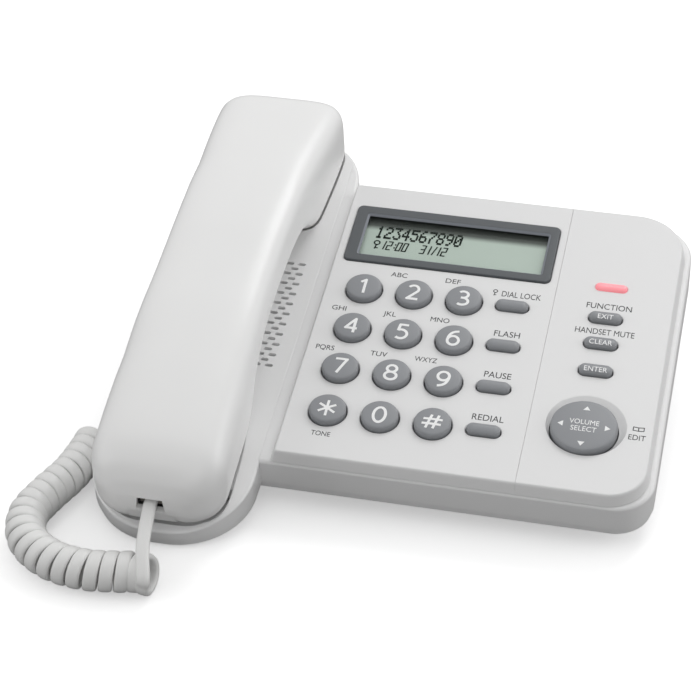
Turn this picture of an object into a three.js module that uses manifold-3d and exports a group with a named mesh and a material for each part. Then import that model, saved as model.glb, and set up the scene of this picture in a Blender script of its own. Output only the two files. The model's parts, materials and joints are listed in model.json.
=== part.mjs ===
// A corded desk telephone: a tilted wedge base with a handset cradle on its left, a raised face
// plate with keys and a display, a two-shell handset, a coiled cord and a rear desk stand.
//
// Everything is laid out in the slab frame (u to the right, v up the slope, h out of the face),
// whose origin is the front end of the groove between the two face plates. The slab frame is then
// tipped back by TILT, so that the finished object stands on level rubber feet with +Z up.
import * as THREE from 'three';
import { mergeVertices } from 'three/addons/utils/BufferGeometryUtils.js';
import Module from 'manifold-3d';

const wasm = await Module();
wasm.setup();

// ---------------------------------------------------------------- driving dimensions (mm)
const TILT = THREE.MathUtils.degToRad(11.6);   // face slope above level ground
const GROUND = -25.2;                          // level of the desk below the slab origin
const GAP = 0.3;                               // clearance between pieces that rest or slide
const WALL = 2.2;                              // moulded wall thickness

const BASE = { left: -95, right: 47.4, front: -2, back: 143, frontR: 13, backR: 17 };
const BOTTOM = { at: -19.4, slope: -0.045 };     // underside: h = at + slope * (v - BASE.front)
const FLOOR_T = 2.8;                           // lower housing thickness
const LEDGE = -4.9;                            // ledge around the foot of the face plates
const PLATE = { left: -85.2, right: 43.5, front: 0, back: 141, foot: 1.7, cornerL: 1.2, seamR: 0.5,
  frontR: 13, backR: 18 };
const GROOVE = 0.15;                           // half the gap between the two face plates
const CRADLE = { left: -149.5, right: -90.8, front: -35.2, back: 172, noseR: 27, tailRight: -86.8 };
const CRADLE_FLOOR = -5;
const GRIP_U = -120;                           // centre line of handset and cradle

const KEY = { r: 6.65, top: 1.5, crown: 0.5, bottom: -3.4, flange: 0.9, play: 0.4 };
const KEY_COLUMNS = [-70.9, -51.9, -32.9];
const KEY_ROWS = [83.6, 62.7, 41.9, 21];
const KEY_NAMES = [
  ['key_1', 'key_2', 'key_3'],
  ['key_4', 'key_5', 'key_6'],
  ['key_7', 'key_8', 'key_9'],
  ['key_star', 'key_0', 'key_hash'],
];
const PILL = { length: 12, width: 4.8 };
const LEFT_PILLS = { dial_lock_key: 84, flash_key: 63.3, pause_key: 42.4, redial_key: 21.3 };
const LEFT_PILL_U = -14.8;
const RIGHT_PILLS = { exit_key: 83.6, clear_key: 70.4, enter_key: 56.7 };
const RIGHT_PILL_U = 20;
const LAMP = { u: 20.1, v: 100, length: 11.8, width: 3.5 };
const NAV = { u: 19.8, v: 28.4, r: 11.9, dish: 14, top: 1.9 };
const BEZEL = { left: -82.3, right: -3, front: 98.4, back: 128.9, corner: 2.2, top: 0.8 };
const GLASS = { left: -77.1, right: -6.9, front: 102.4, back: 124 };
const DISPLAY = { frame: 1.7, window: [-1.3, -0.5], module: [-4.1, -1.6] };

const HANDSET = { front: -36.5, back: 173, jackH: 5.2 };
const LIFT_CLEARANCE = 0.8;                    // handset to cradle pocket
const BAY = { left: -60, right: -13, front: 96, back: 130 };
const STAND = { left: -112, right: 12, front: 76, back: 138, wall: 3.2, corner: 15, pad: 1.3 };
const FOOT_R = 6;
const CELL = { r: 5.25, length: 44.5, edge: 6, pitch: 11, h: -14.6 };
const COIL = { r: 6.1, pitch: 5.3, wire: 1.35 };
const PLUG = { wide: 9.2, high: 5.4 };

// ---------------------------------------------------------------- materials
const finish = (color, roughness, metalness = 0) =>
  new THREE.MeshStandardMaterial({ color, roughness, metalness });
const WHITE = finish(0xeceeee, 0.42);
const GREY = finish(0x83868a, 0.5);
const BEZEL_GREY = finish(0x6e7276, 0.5);
const CLEAR = finish(0xd8e2dc, 0.1);
const LCD_GREEN = finish(0xc4d3c6, 0.35);
const PINK = finish(0xff9ca4, 0.3);
const BOARD = finish(0x2f6b3f, 0.6);
const SILICONE = finish(0xb9bcbd, 0.75);
const RUBBER = finish(0x2a2b2d, 0.85);
const STEEL = finish(0xb4b7ba, 0.35, 1);
const DARK = finish(0x3a3c3f, 0.6);
const CORD = finish(0xe4e5e3, 0.55);
const CELL_SKIN = finish(0x3f7d5c, 0.45, 0.3);

// ---------------------------------------------------------------- solids
function solid(geometry) {
  const g = geometry.index ? geometry.clone() : mergeVertices(geometry);
  for (const name of Object.keys(g.attributes)) if (name !== 'position') g.deleteAttribute(name);
  const merged = mergeVertices(g, 1e-4);
  return new wasm.Manifold(new wasm.Mesh({
    numProp: 3,
    vertProperties: new Float32Array(merged.attributes.position.array),
    triVerts: new Uint32Array(merged.index.array),
  }));
}

function toGeometry(manifold) {
  const mesh = manifold.getMesh();
  const g = new THREE.BufferGeometry();
  g.setAttribute('position', new THREE.BufferAttribute(mesh.vertProperties, 3));
  g.setIndex(new THREE.BufferAttribute(mesh.triVerts, 1));
  g.computeVertexNormals();
  return g;
}

const union = (list) => list.reduce((a, b) => a.add(b));
const cut = (body, tools) => tools.reduce((a, b) => a.subtract(b), body);

function extrude(shape, depth, options = {}) {
  return new THREE.ExtrudeGeometry(shape, { depth, bevelEnabled: false, curveSegments: 6, ...options });
}

// A plan outline (u, v) raised from h0 to h1.
const prism = (shape, h0, h1, curveSegments = 6) =>
  solid(extrude(shape, h1 - h0, { curveSegments }).translate(0, 0, h0));

// A side outline (v, h) drawn out from u0 to u1.
function sidePrism(points, u0, u1) {
  const shape = new THREE.Shape(points.map(([v, h]) => new THREE.Vector2(v, h)));
  const toSlab = new THREE.Matrix4().makeBasis(
    new THREE.Vector3(0, 1, 0), new THREE.Vector3(0, 0, 1), new THREE.Vector3(1, 0, 0));
  return solid(extrude(shape, u1 - u0).applyMatrix4(toSlab).translate(u0, 0, 0));
}

// A front outline (u, h) drawn out from v0 to v1.
function frontPrism(points, v0, v1) {
  const shape = new THREE.Shape(points.map(([u, h]) => new THREE.Vector2(u, h)));
  const toSlab = new THREE.Matrix4().makeBasis(
    new THREE.Vector3(1, 0, 0), new THREE.Vector3(0, 0, 1), new THREE.Vector3(0, -1, 0));
  return solid(extrude(shape, v1 - v0).applyMatrix4(toSlab).translate(0, v1, 0));
}

function box(u0, u1, v0, v1, h0, h1) {
  const g = new THREE.BoxGeometry(u1 - u0, v1 - v0, h1 - h0);
  return solid(g.translate((u0 + u1) / 2, (v0 + v1) / 2, (h0 + h1) / 2));
}

// Rectangle with one radius per corner, in the order front right, back right, back left, front left.
function roundRect(u0, u1, v0, v1, radii) {
  const [fr, br, bl, fl] = Array.isArray(radii) ? radii : [radii, radii, radii, radii];
  const s = new THREE.Shape();
  const q = Math.PI / 2;
  s.moveTo(u0 + fl, v0);
  s.lineTo(u1 - fr, v0);
  if (fr) s.absarc(u1 - fr, v0 + fr, fr, -q, 0, false);
  s.lineTo(u1, v1 - br);
  if (br) s.absarc(u1 - br, v1 - br, br, 0, q, false);
  s.lineTo(u0 + bl, v1);
  if (bl) s.absarc(u0 + bl, v1 - bl, bl, q, 2 * q, false);
  s.lineTo(u0, v0 + fl);
  if (fl) s.absarc(u0 + fl, v0 + fl, fl, 2 * q, 3 * q, false);
  return s;
}

const stadium = (u, v, length, width, grow = 0) => {
  const a = length / 2 + grow;
  const b = width / 2 + grow;
  return roundRect(u - a, u + a, v - b, v + b, b - 0.01);
};

function circle(u, v, r) {
  const s = new THREE.Shape();
  s.absarc(u, v, r, 0, 2 * Math.PI, false);
  return s;
}

const disc = (u, v, r, h0, h1, segments = 16) =>
  solid(new THREE.CylinderGeometry(r, r, h1 - h0, segments).rotateX(Math.PI / 2)
    .translate(u, v, (h0 + h1) / 2));

// A turned solid about h through (u, v): the profile is a list of [radius, h] from axis to axis.
function turned(profile, u, v, segments = 16) {
  const g = new THREE.LatheGeometry(profile.map(([r, h]) => new THREE.Vector2(r, h)), segments);
  return solid(g.rotateX(Math.PI / 2).translate(u, v, 0));
}

// The points of a closed outline at height h, without doubled points.
function ringAt(shape, h, divisions) {
  const points = shape.getPoints(divisions);
  return points.filter((p, i) => p.distanceTo(points[(i + 1) % points.length]) > 1e-6)
    .map((p) => new THREE.Vector3(p.x, p.y, h));
}

// Closed body through a list of rings that all have the same number of points.
function loft(rings) {
  const n = rings[0].length;
  const positions = [];
  const index = [];
  for (const ring of rings) for (const p of ring) positions.push(p.x, p.y, p.z);
  const middle = (ring) => ring.reduce((a, p) => a.add(p), new THREE.Vector3()).divideScalar(n);
  const first = positions.length / 3;
  for (const ring of [rings[0], rings.at(-1)]) positions.push(...middle(ring).toArray());
  for (let k = 0; k < n; k++) {
    const next = (k + 1) % n;
    const top = (rings.length - 1) * n;
    index.push(first, next, k, first + 1, top + k, top + next);
    for (let j = 0; j + 1 < rings.length; j++) {
      const a = j * n;
      const b = a + n;
      index.push(a + k, a + next, b + next, a + k, b + next, b + k);
    }
  }
  const g = new THREE.BufferGeometry();
  g.setAttribute('position', new THREE.Float32BufferAttribute(positions, 3));
  g.setIndex(index);
  return solid(g);
}

const root = new THREE.Group();
const slab = new THREE.Group();
slab.rotation.x = TILT;
root.add(slab);

function add(name, body, material, parent = slab) {
  const mesh = new THREE.Mesh(toGeometry(body), material);
  mesh.name = name;
  parent.add(mesh);
  return mesh;
}

// ---------------------------------------------------------------- shared surfaces
const bottomAt = (v) => BOTTOM.at + BOTTOM.slope * (v - BASE.front);
const slabToLevel = (v, h) => [
  v * Math.cos(TILT) - h * Math.sin(TILT), v * Math.sin(TILT) + h * Math.cos(TILT)];
const levelAt = (v, z) => (z - v * Math.sin(TILT)) / Math.cos(TILT);   // h of level z at v

// Space above the underside plane plus a lift, as a solid as long as the body.
function aboveBottom(lift) {
  const [v0, v1] = [-60, 180];
  return sidePrism([[v0, bottomAt(v0) + lift], [v1, bottomAt(v1) + lift], [v1, 60], [v0, 60]], -200, 100);
}

function baseOutline(inset) {
  const i = inset;
  const right = roundRect(BASE.left, BASE.right - i, BASE.front + i, BASE.back - i,
    [BASE.frontR - i, BASE.backR - i, 0, 0]);
  const r = CRADLE.noseR - i;
  const nose = roundRect(CRADLE.left + i, CRADLE.right - i, CRADLE.front + i, 120, [r, 0, 0, r]);
  const tail = roundRect(CRADLE.left + i, CRADLE.tailRight - i, 119, CRADLE.back - i, [0, r, r, 0]);
  return [right, nose, tail];
}

const wholeBase = (inset, h0, h1) => union(baseOutline(inset).map((s) => prism(s, h0, h1)));

// ---------------------------------------------------------------- handset form
// A smooth curve through [v, value] points that never overshoots them (monotone cubic).
function curve(points) {
  const n = points.length;
  const steps = points.slice(1).map(([v, x], i) => [v - points[i][0], x - points[i][1]]);
  const slopes = steps.map(([dv, dx]) => dx / dv);
  const tangents = points.map((_, i) => {
    if (i === 0) return slopes[0];
    if (i === n - 1) return slopes[n - 2];
    const [a, b] = [slopes[i - 1], slopes[i]];
    return a * b <= 0 ? 0 : 2 * a * b / (a + b);
  });
  return (v) => {
    const x = THREE.MathUtils.clamp(v, points[0][0], points[n - 1][0]);
    const i = Math.max(0, Math.min(n - 2, points.findIndex(([w]) => w >= x) - 1));
    const dv = steps[i][0];
    const t = (x - points[i][0]) / dv;
    const [t2, t3] = [t * t, t * t * t];
    return points[i][1] * (2 * t3 - 3 * t2 + 1) + dv * tangents[i] * (t3 - 2 * t2 + t)
      + points[i + 1][1] * (3 * t2 - 2 * t3) + dv * tangents[i + 1] * (t3 - t2);
  };
}

// Heights of the handset's back and underside and its half width, from the mouth end to the ear end.
const topAt = curve([[-36.5, 4], [-36, 9], [-34, 14.5], [-29, 19.5], [-20, 23.5], [-5, 26.5], [15, 29],
  [45, 30.8], [75, 31], [100, 29.8], [120, 27.6], [140, 24.5], [155, 21.8], [164, 19.5], [169, 16.5],
  [172, 11.5], [173, 5]]);
const underAt = curve([[-36.5, 0.5], [-35.5, -3], [-32.5, -6.3], [-27, -8.9], [-20, -9.6], [8, -9.6],
  [14, -8], [21, -1], [30, 5], [44, 8], [88, 8], [102, 5.5], [111, 0], [117, -5.5], [122, -8.8],
  [127, -9.6], [163, -9.6], [168.5, -7.5], [171.5, -4], [173, 0]]);
// How square the section is, above and below its widest line.
const upperPower = curve([[-36.5, 3.8], [60, 4.2], [120, 4.8], [173, 5.2]]);
const lowerPower = curve([[-36.5, 3.8], [20, 3.6], [60, 2.9], [112, 4.6], [173, 5]]);
const widthAt = curve([[-36.5, 24], [0, 23.8], [25, 22.8], [60, 22], [85, 22.1], [110, 22.8], [135, 24.3],
  [155, 25], [173, 25]]);
const PLAN_R = 15;

function endInset(v) {
  const d = Math.min(v - HANDSET.front, HANDSET.back - v);
  return d >= PLAN_R ? 0 : PLAN_R - Math.sqrt(Math.max(0, PLAN_R ** 2 - (PLAN_R - d) ** 2));
}

// One section across the handset at v, grown outwards by g.
function section(v, g, points) {
  const w = widthAt(v) - endInset(v) + g;
  const [top, under] = [topAt(v) + g, underAt(v) - g];
  const [mid, up, down] = [(top + under) / 2, (top - under) / 2, (top - under) / 2];
  const ring = [];
  for (let k = 0; k < points; k++) {
    const a = 2 * Math.PI * (k + 0.5) / points;
    const power = 2 / (Math.sin(a) > 0 ? upperPower(v) : lowerPower(v));
    const x = Math.sign(Math.cos(a)) * Math.abs(Math.cos(a)) ** power;
    const y = Math.sign(Math.sin(a)) * Math.abs(Math.sin(a)) ** power;
    ring.push(new THREE.Vector3(GRIP_U - w * x, v, mid + (y > 0 ? up : down) * y));
  }
  return ring;
}

const FORM = { stations: 28, points: 20 };

function handsetForm(g, stations, points) {
  const [a, b] = [HANDSET.front - g, HANDSET.back + g];
  const rings = [];
  for (let i = 0; i <= stations; i++) {
    const s = i / stations;
    const eased = s - 0.9 * Math.sin(2 * Math.PI * s) / (2 * Math.PI);
    const v = a + (b - a) * eased;
    const inner = THREE.MathUtils.clamp(v, HANDSET.front, HANDSET.back);
    rings.push(section(inner, g, points).map((p) => p.setY(v)));
  }
  return loft(rings);
}

// ---------------------------------------------------------------- housings
// The cradle is a long tray: level beside the grip, falling a little towards the nose.
function cradleForm() {
  const [, nose, tail] = baseOutline(0);
  const outline = prism(nose, -40, 30).add(prism(tail, -40, 30));
  const top = [[-40, -11], [-34.6, -10.2], [-26, -8.4], [-12, -6.6], [4, CRADLE_FLOOR], [180, CRADLE_FLOOR]];
  const left = outline.intersect(box(-200, CRADLE.right, -60, 200, -50, 50))
    .intersect(sidePrism([...top, [180, -60], [-40, -60]], -200, 0));
  const lip = outline.intersect(box(CRADLE.right, 0, BASE.back - 4, 200, -50, LEDGE));
  return left.add(lip);
}

// Room for the handset in the cradle: its own form grown a little, and the way straight up from it.
function handsetRoom() {
  const plan = new THREE.Shape();
  const edge = [];
  for (let v = HANDSET.front - 0.8; v <= HANDSET.back + 0.9; v += 5.3) {
    const inside = THREE.MathUtils.clamp(v, HANDSET.front, HANDSET.back);
    edge.push([widthAt(inside) - endInset(inside) + LIFT_CLEARANCE, v]);
  }
  const right = edge.map(([w, v]) => new THREE.Vector2(GRIP_U + w, v));
  const left = edge.reverse().map(([w, v]) => new THREE.Vector2(GRIP_U - w, v));
  plan.setFromPoints([...right, ...left]);
  return handsetForm(LIFT_CLEARANCE, FORM.stations, FORM.points).add(prism(plan, 9, 60));
}

const SLOT = { length: 2.7, width: 1.3, pitch: 5.45 };
const SLOT_COLUMNS = [[-98.5, 44, 11], [-100.8, 46.7, 10], [-103.1, 44, 11]];

function soundSlots() {
  const slots = [];
  for (const [u, v0, count] of SLOT_COLUMNS) {
    for (let i = 0; i < count; i++) {
      const v = v0 + i * SLOT.pitch;
      const [a, b] = [SLOT.length / 2, SLOT.width / 2];
      slots.push(box(u - a, u + a, v - b, v + b, -12, 0));
    }
  }
  return union(slots);
}

const JACK = { v: 26, h: -12, wide: 12, high: 8, deep: 14 };     // handset cord socket in the left wall
const LINE = { u: -73, h: -15, wide: 12, high: 10, deep: 14 };   // line socket in the back wall
const HOOK = { v: 141, wide: 6, long: 5, top: -9.95, bottom: -16 };

function upperHousing() {
  const skirt = prism(baseOutline(0)[0], -40, LEDGE);
  const outer = skirt.add(cradleForm()).intersect(aboveBottom(FLOOR_T + GAP));
  const deckRoom = prism(roundRect(-88.5, BASE.right - WALL, BASE.front + WALL, BASE.back - WALL,
    [BASE.frontR - WALL, BASE.backR - WALL, 0, 0]), -40, LEDGE - WALL);
  const [, nose, tail] = baseOutline(WALL);
  const cradleRoom = prism(nose, -40, -13).add(prism(tail, -40, -13));
  const speakerRoom = box(-129, -93, 42, 100, -20, -7.2);
  const opening = prism(roundRect(-83.4, 41.8, 2.6, 138.4, [9, 14, 1, 1]), -20, 0);
  const hook = box(GRIP_U - 3.4, GRIP_U + 3.4, HOOK.v - 2.9, HOOK.v + 2.9, -20, 0);
  const a = JACK.wide / 2 + GAP;
  const jack = box(CRADLE.left - 1, CRADLE.left + JACK.deep + GAP, JACK.v - a, JACK.v + a,
    -40, JACK.h + JACK.high / 2 + GAP).intersect(box(-200, 0, 0, 60, JACK.h - JACK.high / 2 - GAP, 0));
  const line = box(LINE.u - LINE.wide / 2 - GAP, LINE.u + LINE.wide / 2 + GAP, BASE.back - 4, BASE.back + 1,
    LINE.h - LINE.high / 2 - GAP, LINE.h + LINE.high / 2 + GAP);
  const seam = box(CRADLE.right - 0.35, CRADLE.right + 0.35, -1, 140, LEDGE - 0.5, 0);
  return cut(outer, [deckRoom, cradleRoom, speakerRoom, opening, handsetRoom(), hook, jack, line, seam,
    soundSlots()]);
}

const BAY_LID = { inset: 0.35 };
function lowerHousing() {
  const slice = wholeBase(0.7, -40, 0)
    .subtract(aboveBottom(FLOOR_T)).intersect(aboveBottom(0));
  const bay = box(BAY.left, BAY.right, BAY.front, BAY.back, -40, 0);
  return slice.subtract(bay);
}

function batteryDoor() {
  const i = BAY_LID.inset;
  return box(BAY.left + i, BAY.right - i, BAY.front + i, BAY.back - i, -40, 0)
    .subtract(aboveBottom(1.8)).intersect(aboveBottom(0));
}

// The stand is an open frame whose foot is level: its sides grow taller towards the back.
function deskStand() {
  const top = (v) => bottomAt(v) - GAP;
  const side = sidePrism([[STAND.front, levelAt(STAND.front, GROUND + 1.6)],
    [STAND.back, levelAt(STAND.back, GROUND + 1.6)], [STAND.back, top(STAND.back)],
    [STAND.front, top(STAND.front)]], STAND.left, STAND.right);
  const w = STAND.wall;
  const middle = box(STAND.left + w, STAND.right - w, STAND.front + w, STAND.back - w, -80, 0);
  const b = STAND.corner;
  const corners = [STAND.left, STAND.right - b].map((u) => box(u, u + b, STAND.back - b, STAND.back, -90, 5));
  return side.subtract(cut(middle, corners));
}

// A rubber foot: upright in the room, its head cut to the slope it is bonded to.
function foot(u, v, r, headAt) {
  const [y] = slabToLevel(v, headAt(v));
  const post = solid(new THREE.CylinderGeometry(r, r * 0.88, 40, 20).rotateX(Math.PI / 2)
    .translate(u, y, GROUND + 20));
  const head = sidePrism([[-80, headAt(-80)], [200, headAt(200)], [200, -120], [-80, -120]], -200, 100)
    .rotate([THREE.MathUtils.radToDeg(TILT), 0, 0]);
  return post.intersect(head);
}

// ---------------------------------------------------------------- face plates
function plateForm(u0, u1, radii, leftFoot, rightFoot, inset, floor) {
  const f = PLATE.foot;
  const [fr, br, bl, fl] = radii;
  const ring = (grow, h) => {
    const s = roundRect(u0 - leftFoot * grow + inset, u1 + rightFoot * grow - inset,
      PLATE.front - grow + inset, PLATE.back + grow * 0.4 - inset, [fr, br, bl, fl]);
    return ringAt(s, h, 5);
  };
  if (inset) return loft([ring(f, floor - 1), ring(0.8, -WALL)]);
  return loft([ring(f, floor), ring(0.7, -1.4), ring(0.25, -0.4), ring(-0.1, 0)]);
}

const PLATE_FLOOR = LEDGE + GAP;

function keypadPanel() {
  const { seamR, cornerL } = PLATE;
  const form = plateForm(PLATE.left, -GROOVE, [seamR, seamR, cornerL, cornerL], 1, 0, 0, PLATE_FLOOR);
  const room = plateForm(PLATE.left, -GROOVE, [seamR, seamR, 1, 1], 1, 0, WALL, PLATE_FLOOR);
  const keys = KEY_ROWS.flatMap((v) => KEY_COLUMNS.map((u) => disc(u, v, KEY.r + KEY.play, -5, 3)));
  const pills = Object.values(LEFT_PILLS).map((v) =>
    prism(stadium(LEFT_PILL_U, v, PILL.length, PILL.width, KEY.play), -5, 3, 3));
  const display = prism(roundRect(BEZEL.left - GAP, BEZEL.right + GAP, BEZEL.front - GAP, BEZEL.back + GAP,
    BEZEL.corner), -5, 3);
  return cut(form, [room, ...keys, ...pills, display]);
}

function functionPanel() {
  const { seamR, frontR, backR } = PLATE;
  const form = plateForm(GROOVE, PLATE.right, [frontR, backR, seamR, seamR], 0, 1, 0, PLATE_FLOOR);
  const room = plateForm(GROOVE, PLATE.right, [frontR - 1, backR - 1, seamR, seamR], 0, 1, WALL, PLATE_FLOOR);
  const pills = Object.values(RIGHT_PILLS).map((v) =>
    prism(stadium(RIGHT_PILL_U, v, PILL.length, PILL.width, KEY.play), -5, 3, 3));
  const lamp = prism(stadium(LAMP.u, LAMP.v, LAMP.length, LAMP.width, GAP), -5, 3, 3);
  const dish = turned([[0, -1.1], [NAV.dish - 1.2, -1.1], [NAV.dish, 0.05], [NAV.dish, 2], [0, 2]],
    NAV.u, NAV.v, 28);
  const hole = disc(NAV.u, NAV.v, NAV.r + 0.6, -5, 3, 28);
  return cut(form, [room, ...pills, lamp, dish, hole]);
}

// ---------------------------------------------------------------- keys
const roundKey = (u, v) => turned([[0, KEY.bottom], [KEY.r + KEY.flange, KEY.bottom],
  [KEY.r + KEY.flange, KEY.bottom + 0.6], [KEY.r, KEY.bottom + 0.6], [KEY.r, KEY.top - 0.7],
  [KEY.r - 0.7, KEY.top], [0, KEY.top + KEY.crown]], u, v);

function pillKey(u, v) {
  const bevel = { bevelEnabled: true, bevelThickness: 0.6, bevelSize: 0.6, bevelSegments: 1,
    curveSegments: 3 };
  const stem = extrude(stadium(u, v, PILL.length, PILL.width, -0.6), KEY.top - KEY.bottom - 0.9, bevel)
    .translate(0, 0, KEY.bottom + 0.6);
  return solid(stem).add(prism(stadium(u, v, PILL.length, PILL.width, KEY.flange),
    KEY.bottom, KEY.bottom + 0.6, 3));
}

const navigatorKey = () => turned([[0, -2], [NAV.r - 0.3, -2], [NAV.r, -1.2], [NAV.r, 0.9],
  [NAV.r - 0.9, 1.7], [NAV.r * 0.5, NAV.top + 0.1], [0, NAV.top + 0.2]], NAV.u, NAV.v, 28);
const navigatorHub = () => turned([[0, -4.6], [3, -4.6], [3, -3.6], [1.6, -2.5], [0, -2.5]],
  NAV.u, NAV.v, 12);

// ---------------------------------------------------------------- display
// A frame over the window: the window and the module behind it sit in a rebate in its underside.
function lcdBezel() {
  const outer = prism(roundRect(BEZEL.left, BEZEL.right, BEZEL.front, BEZEL.back, BEZEL.corner),
    -1.9, BEZEL.top);
  const ring = (grow, h) => ringAt(roundRect(GLASS.left - grow, GLASS.right + grow, GLASS.front - grow,
    GLASS.back + grow, 1), h, 2);
  const mouth = loft([ring(0, -2.5), ring(0, BEZEL.top - 0.5), ring(0.6, BEZEL.top + 0.1)]);
  return cut(outer, [mouth, displayPlate(DISPLAY.frame + GAP, -3, DISPLAY.window[1] + GAP)]);
}

const displayPlate = (grow, h0, h1) =>
  box(GLASS.left - grow, GLASS.right + grow, GLASS.front - grow, GLASS.back + grow, h0, h1);

// ---------------------------------------------------------------- handset pieces
const MOUTH_V = -12;         // centre of the microphone
const EAR_V = 146;           // centre of the earpiece
const SPLIT_LIFT = 3.2;      // height of the seam above the handset's underside

function seamCut(lift) {
  const points = [];
  for (let v = HANDSET.front - 6; v <= HANDSET.back + 6; v += 6) {
    const inside = THREE.MathUtils.clamp(v, HANDSET.front + 4, HANDSET.back - 4);
    points.push([v, underAt(inside) + lift]);
  }
  return sidePrism([...points, [points.at(-1)[0], 80], [points[0][0], 80]], -200, 0);
}

const plugRoom = () => box(GRIP_U - PLUG.wide / 2 - 0.6, GRIP_U + PLUG.wide / 2 + 0.6, -42, -20,
  HANDSET.jackH - PLUG.high / 2 - GAP, HANDSET.jackH + PLUG.high / 2 + GAP);

function handsetShells() {
  const form = handsetForm(0, FORM.stations, FORM.points);
  const room = handsetForm(-WALL, 20, 12);
  const shell = form.subtract(room);
  const mouth = [-8, -4, 0, 4, 8].map((d) => disc(GRIP_U + d, MOUTH_V, 0.9, -14, -4, 8));
  const ear = [[0, 0], [5, 0], [-5, 0], [0, 5], [0, -5]].map(([a, b]) =>
    disc(GRIP_U + a, EAR_V + b, 1.1, -14, -4, 8));
  const top = shell.intersect(seamCut(SPLIT_LIFT + GAP)).subtract(plugRoom());
  const bottom = cut(shell.subtract(seamCut(SPLIT_LIFT)), [plugRoom(), ...mouth, ...ear]);
  return [top, bottom];
}

const largest = (body) => body.decompose().sort((a, b) => b.volume() - a.volume())[0];

// A modular socket: a box of thin walls open on the side that mouth points to, as [du, dv].
function socket([u0, u1], [v0, v1], [h0, h1], mouth) {
  const t = 1;
  const room = box(u0 + t + Math.min(mouth[0], 0), u1 - t, v0 + t + Math.min(mouth[1], 0),
    v1 - t + Math.max(mouth[1], 0), h0 + t, h1 - t);
  return box(u0, u1, v0, v1, h0, h1).subtract(room);
}

// ---------------------------------------------------------------- coiled cord
const level = (u, v, h) => {
  const [y, z] = slabToLevel(v, h);
  return new THREE.Vector3(u, y, z);
};
const LEAD = { out: 4.5, bend: 2.5 };            // how the cord leaves the two sockets
const COIL_Z = GROUND + COIL.r + COIL.wire + 0.25;
const COIL_PATH = [[-159.5, 20], [-160, 5], [-162.5, -10], [-166, -24], [-166, -37], [-160.5, -48.5],
  [-150, -55], [-139, -57], [-129, -58.2], [-120, -61]];

class CordCurve extends THREE.Curve {
  constructor() {
    super();
    this.spine = new THREE.CatmullRomCurve3(COIL_PATH.map(([x, y]) => new THREE.Vector3(x, y, COIL_Z)));
    this.turns = Math.round(this.spine.getLength() / COIL.pitch);
  }

  coil(s) {
    const along = this.spine.getTangentAt(s);
    const side = new THREE.Vector3(along.y, -along.x, 0).normalize();
    const angle = 2 * Math.PI * this.turns * s;
    return this.spine.getPointAt(s)
      .addScaledVector(side, COIL.r * Math.cos(angle))
      .add(new THREE.Vector3(0, 0, COIL.r * Math.sin(angle)));
  }
}

const STEPS_PER_TURN = 10;
function coiledCord() {
  const cord = new CordCurve();
  const points = [];
  const start = level(CRADLE.left - LEAD.out, JACK.v, JACK.h);
  const steps = cord.turns * STEPS_PER_TURN;
  const end = level(GRIP_U, HANDSET.front - 1.2, HANDSET.jackH - 0.2);
  points.push(start, start.clone().add(new THREE.Vector3(-LEAD.bend, 0, -1)));
  for (let i = 0; i <= steps; i++) points.push(cord.coil(i / steps));
  const last = points.at(-1);
  points.push(last.clone().lerp(end, 0.2).add(new THREE.Vector3(0.5, -1.5, 0)));
  points.push(last.clone().lerp(end, 0.65).add(new THREE.Vector3(0, -3.5, 0)));
  points.push(end.clone().add(new THREE.Vector3(0, -LEAD.bend, -0.8)), end);
  const path = new THREE.CatmullRomCurve3(points, false, 'centripetal');
  const wire = roundRect(-COIL.wire, COIL.wire, -COIL.wire, COIL.wire, 0);
  return solid(new THREE.ExtrudeGeometry(wire, { steps: points.length - 1, bevelEnabled: false,
    extrudePath: new Polyline(points) }));
}

// A curve through listed points, straight between them, sampled exactly at the points.
class Polyline extends THREE.Curve {
  constructor(points) {
    super();
    this.points = points;
  }

  getPoint(t) {
    const x = t * (this.points.length - 1);
    const i = Math.min(Math.floor(x), this.points.length - 2);
    return this.points[i].clone().lerp(this.points[i + 1], x - i);
  }

  getPointAt(t) { return this.getPoint(t); }

  getTangentAt(t) {
    const n = this.points.length - 1;
    const i = Math.round(t * n);
    const [a, b] = [this.points[Math.max(i - 1, 0)], this.points[Math.min(i + 1, n)]];
    return b.clone().sub(a).normalize();
  }
}

// ---------------------------------------------------------------- assembly
add('upper_housing', largest(upperHousing()), WHITE);
add('lower_housing', lowerHousing(), WHITE);
add('keypad_panel', keypadPanel(), WHITE);
add('function_panel', functionPanel(), WHITE);

KEY_ROWS.forEach((v, r) => KEY_COLUMNS.forEach((u, c) => add(KEY_NAMES[r][c], roundKey(u, v), GREY)));
for (const [name, v] of Object.entries(LEFT_PILLS)) add(name, pillKey(LEFT_PILL_U, v), GREY);
for (const [name, v] of Object.entries(RIGHT_PILLS)) add(name, pillKey(RIGHT_PILL_U, v), GREY);
add('navigator_key', navigatorKey(), GREY);
add('navigator_hub', navigatorHub(), DARK);

add('lcd_bezel', lcdBezel(), BEZEL_GREY);
add('lcd_window', displayPlate(DISPLAY.frame, ...DISPLAY.window), CLEAR);
add('lcd_module', displayPlate(DISPLAY.frame, ...DISPLAY.module), LCD_GREEN);
add('ringer_lamp', prism(stadium(LAMP.u, LAMP.v, LAMP.length, LAMP.width), -3.4, 1, 3), PINK);

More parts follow.
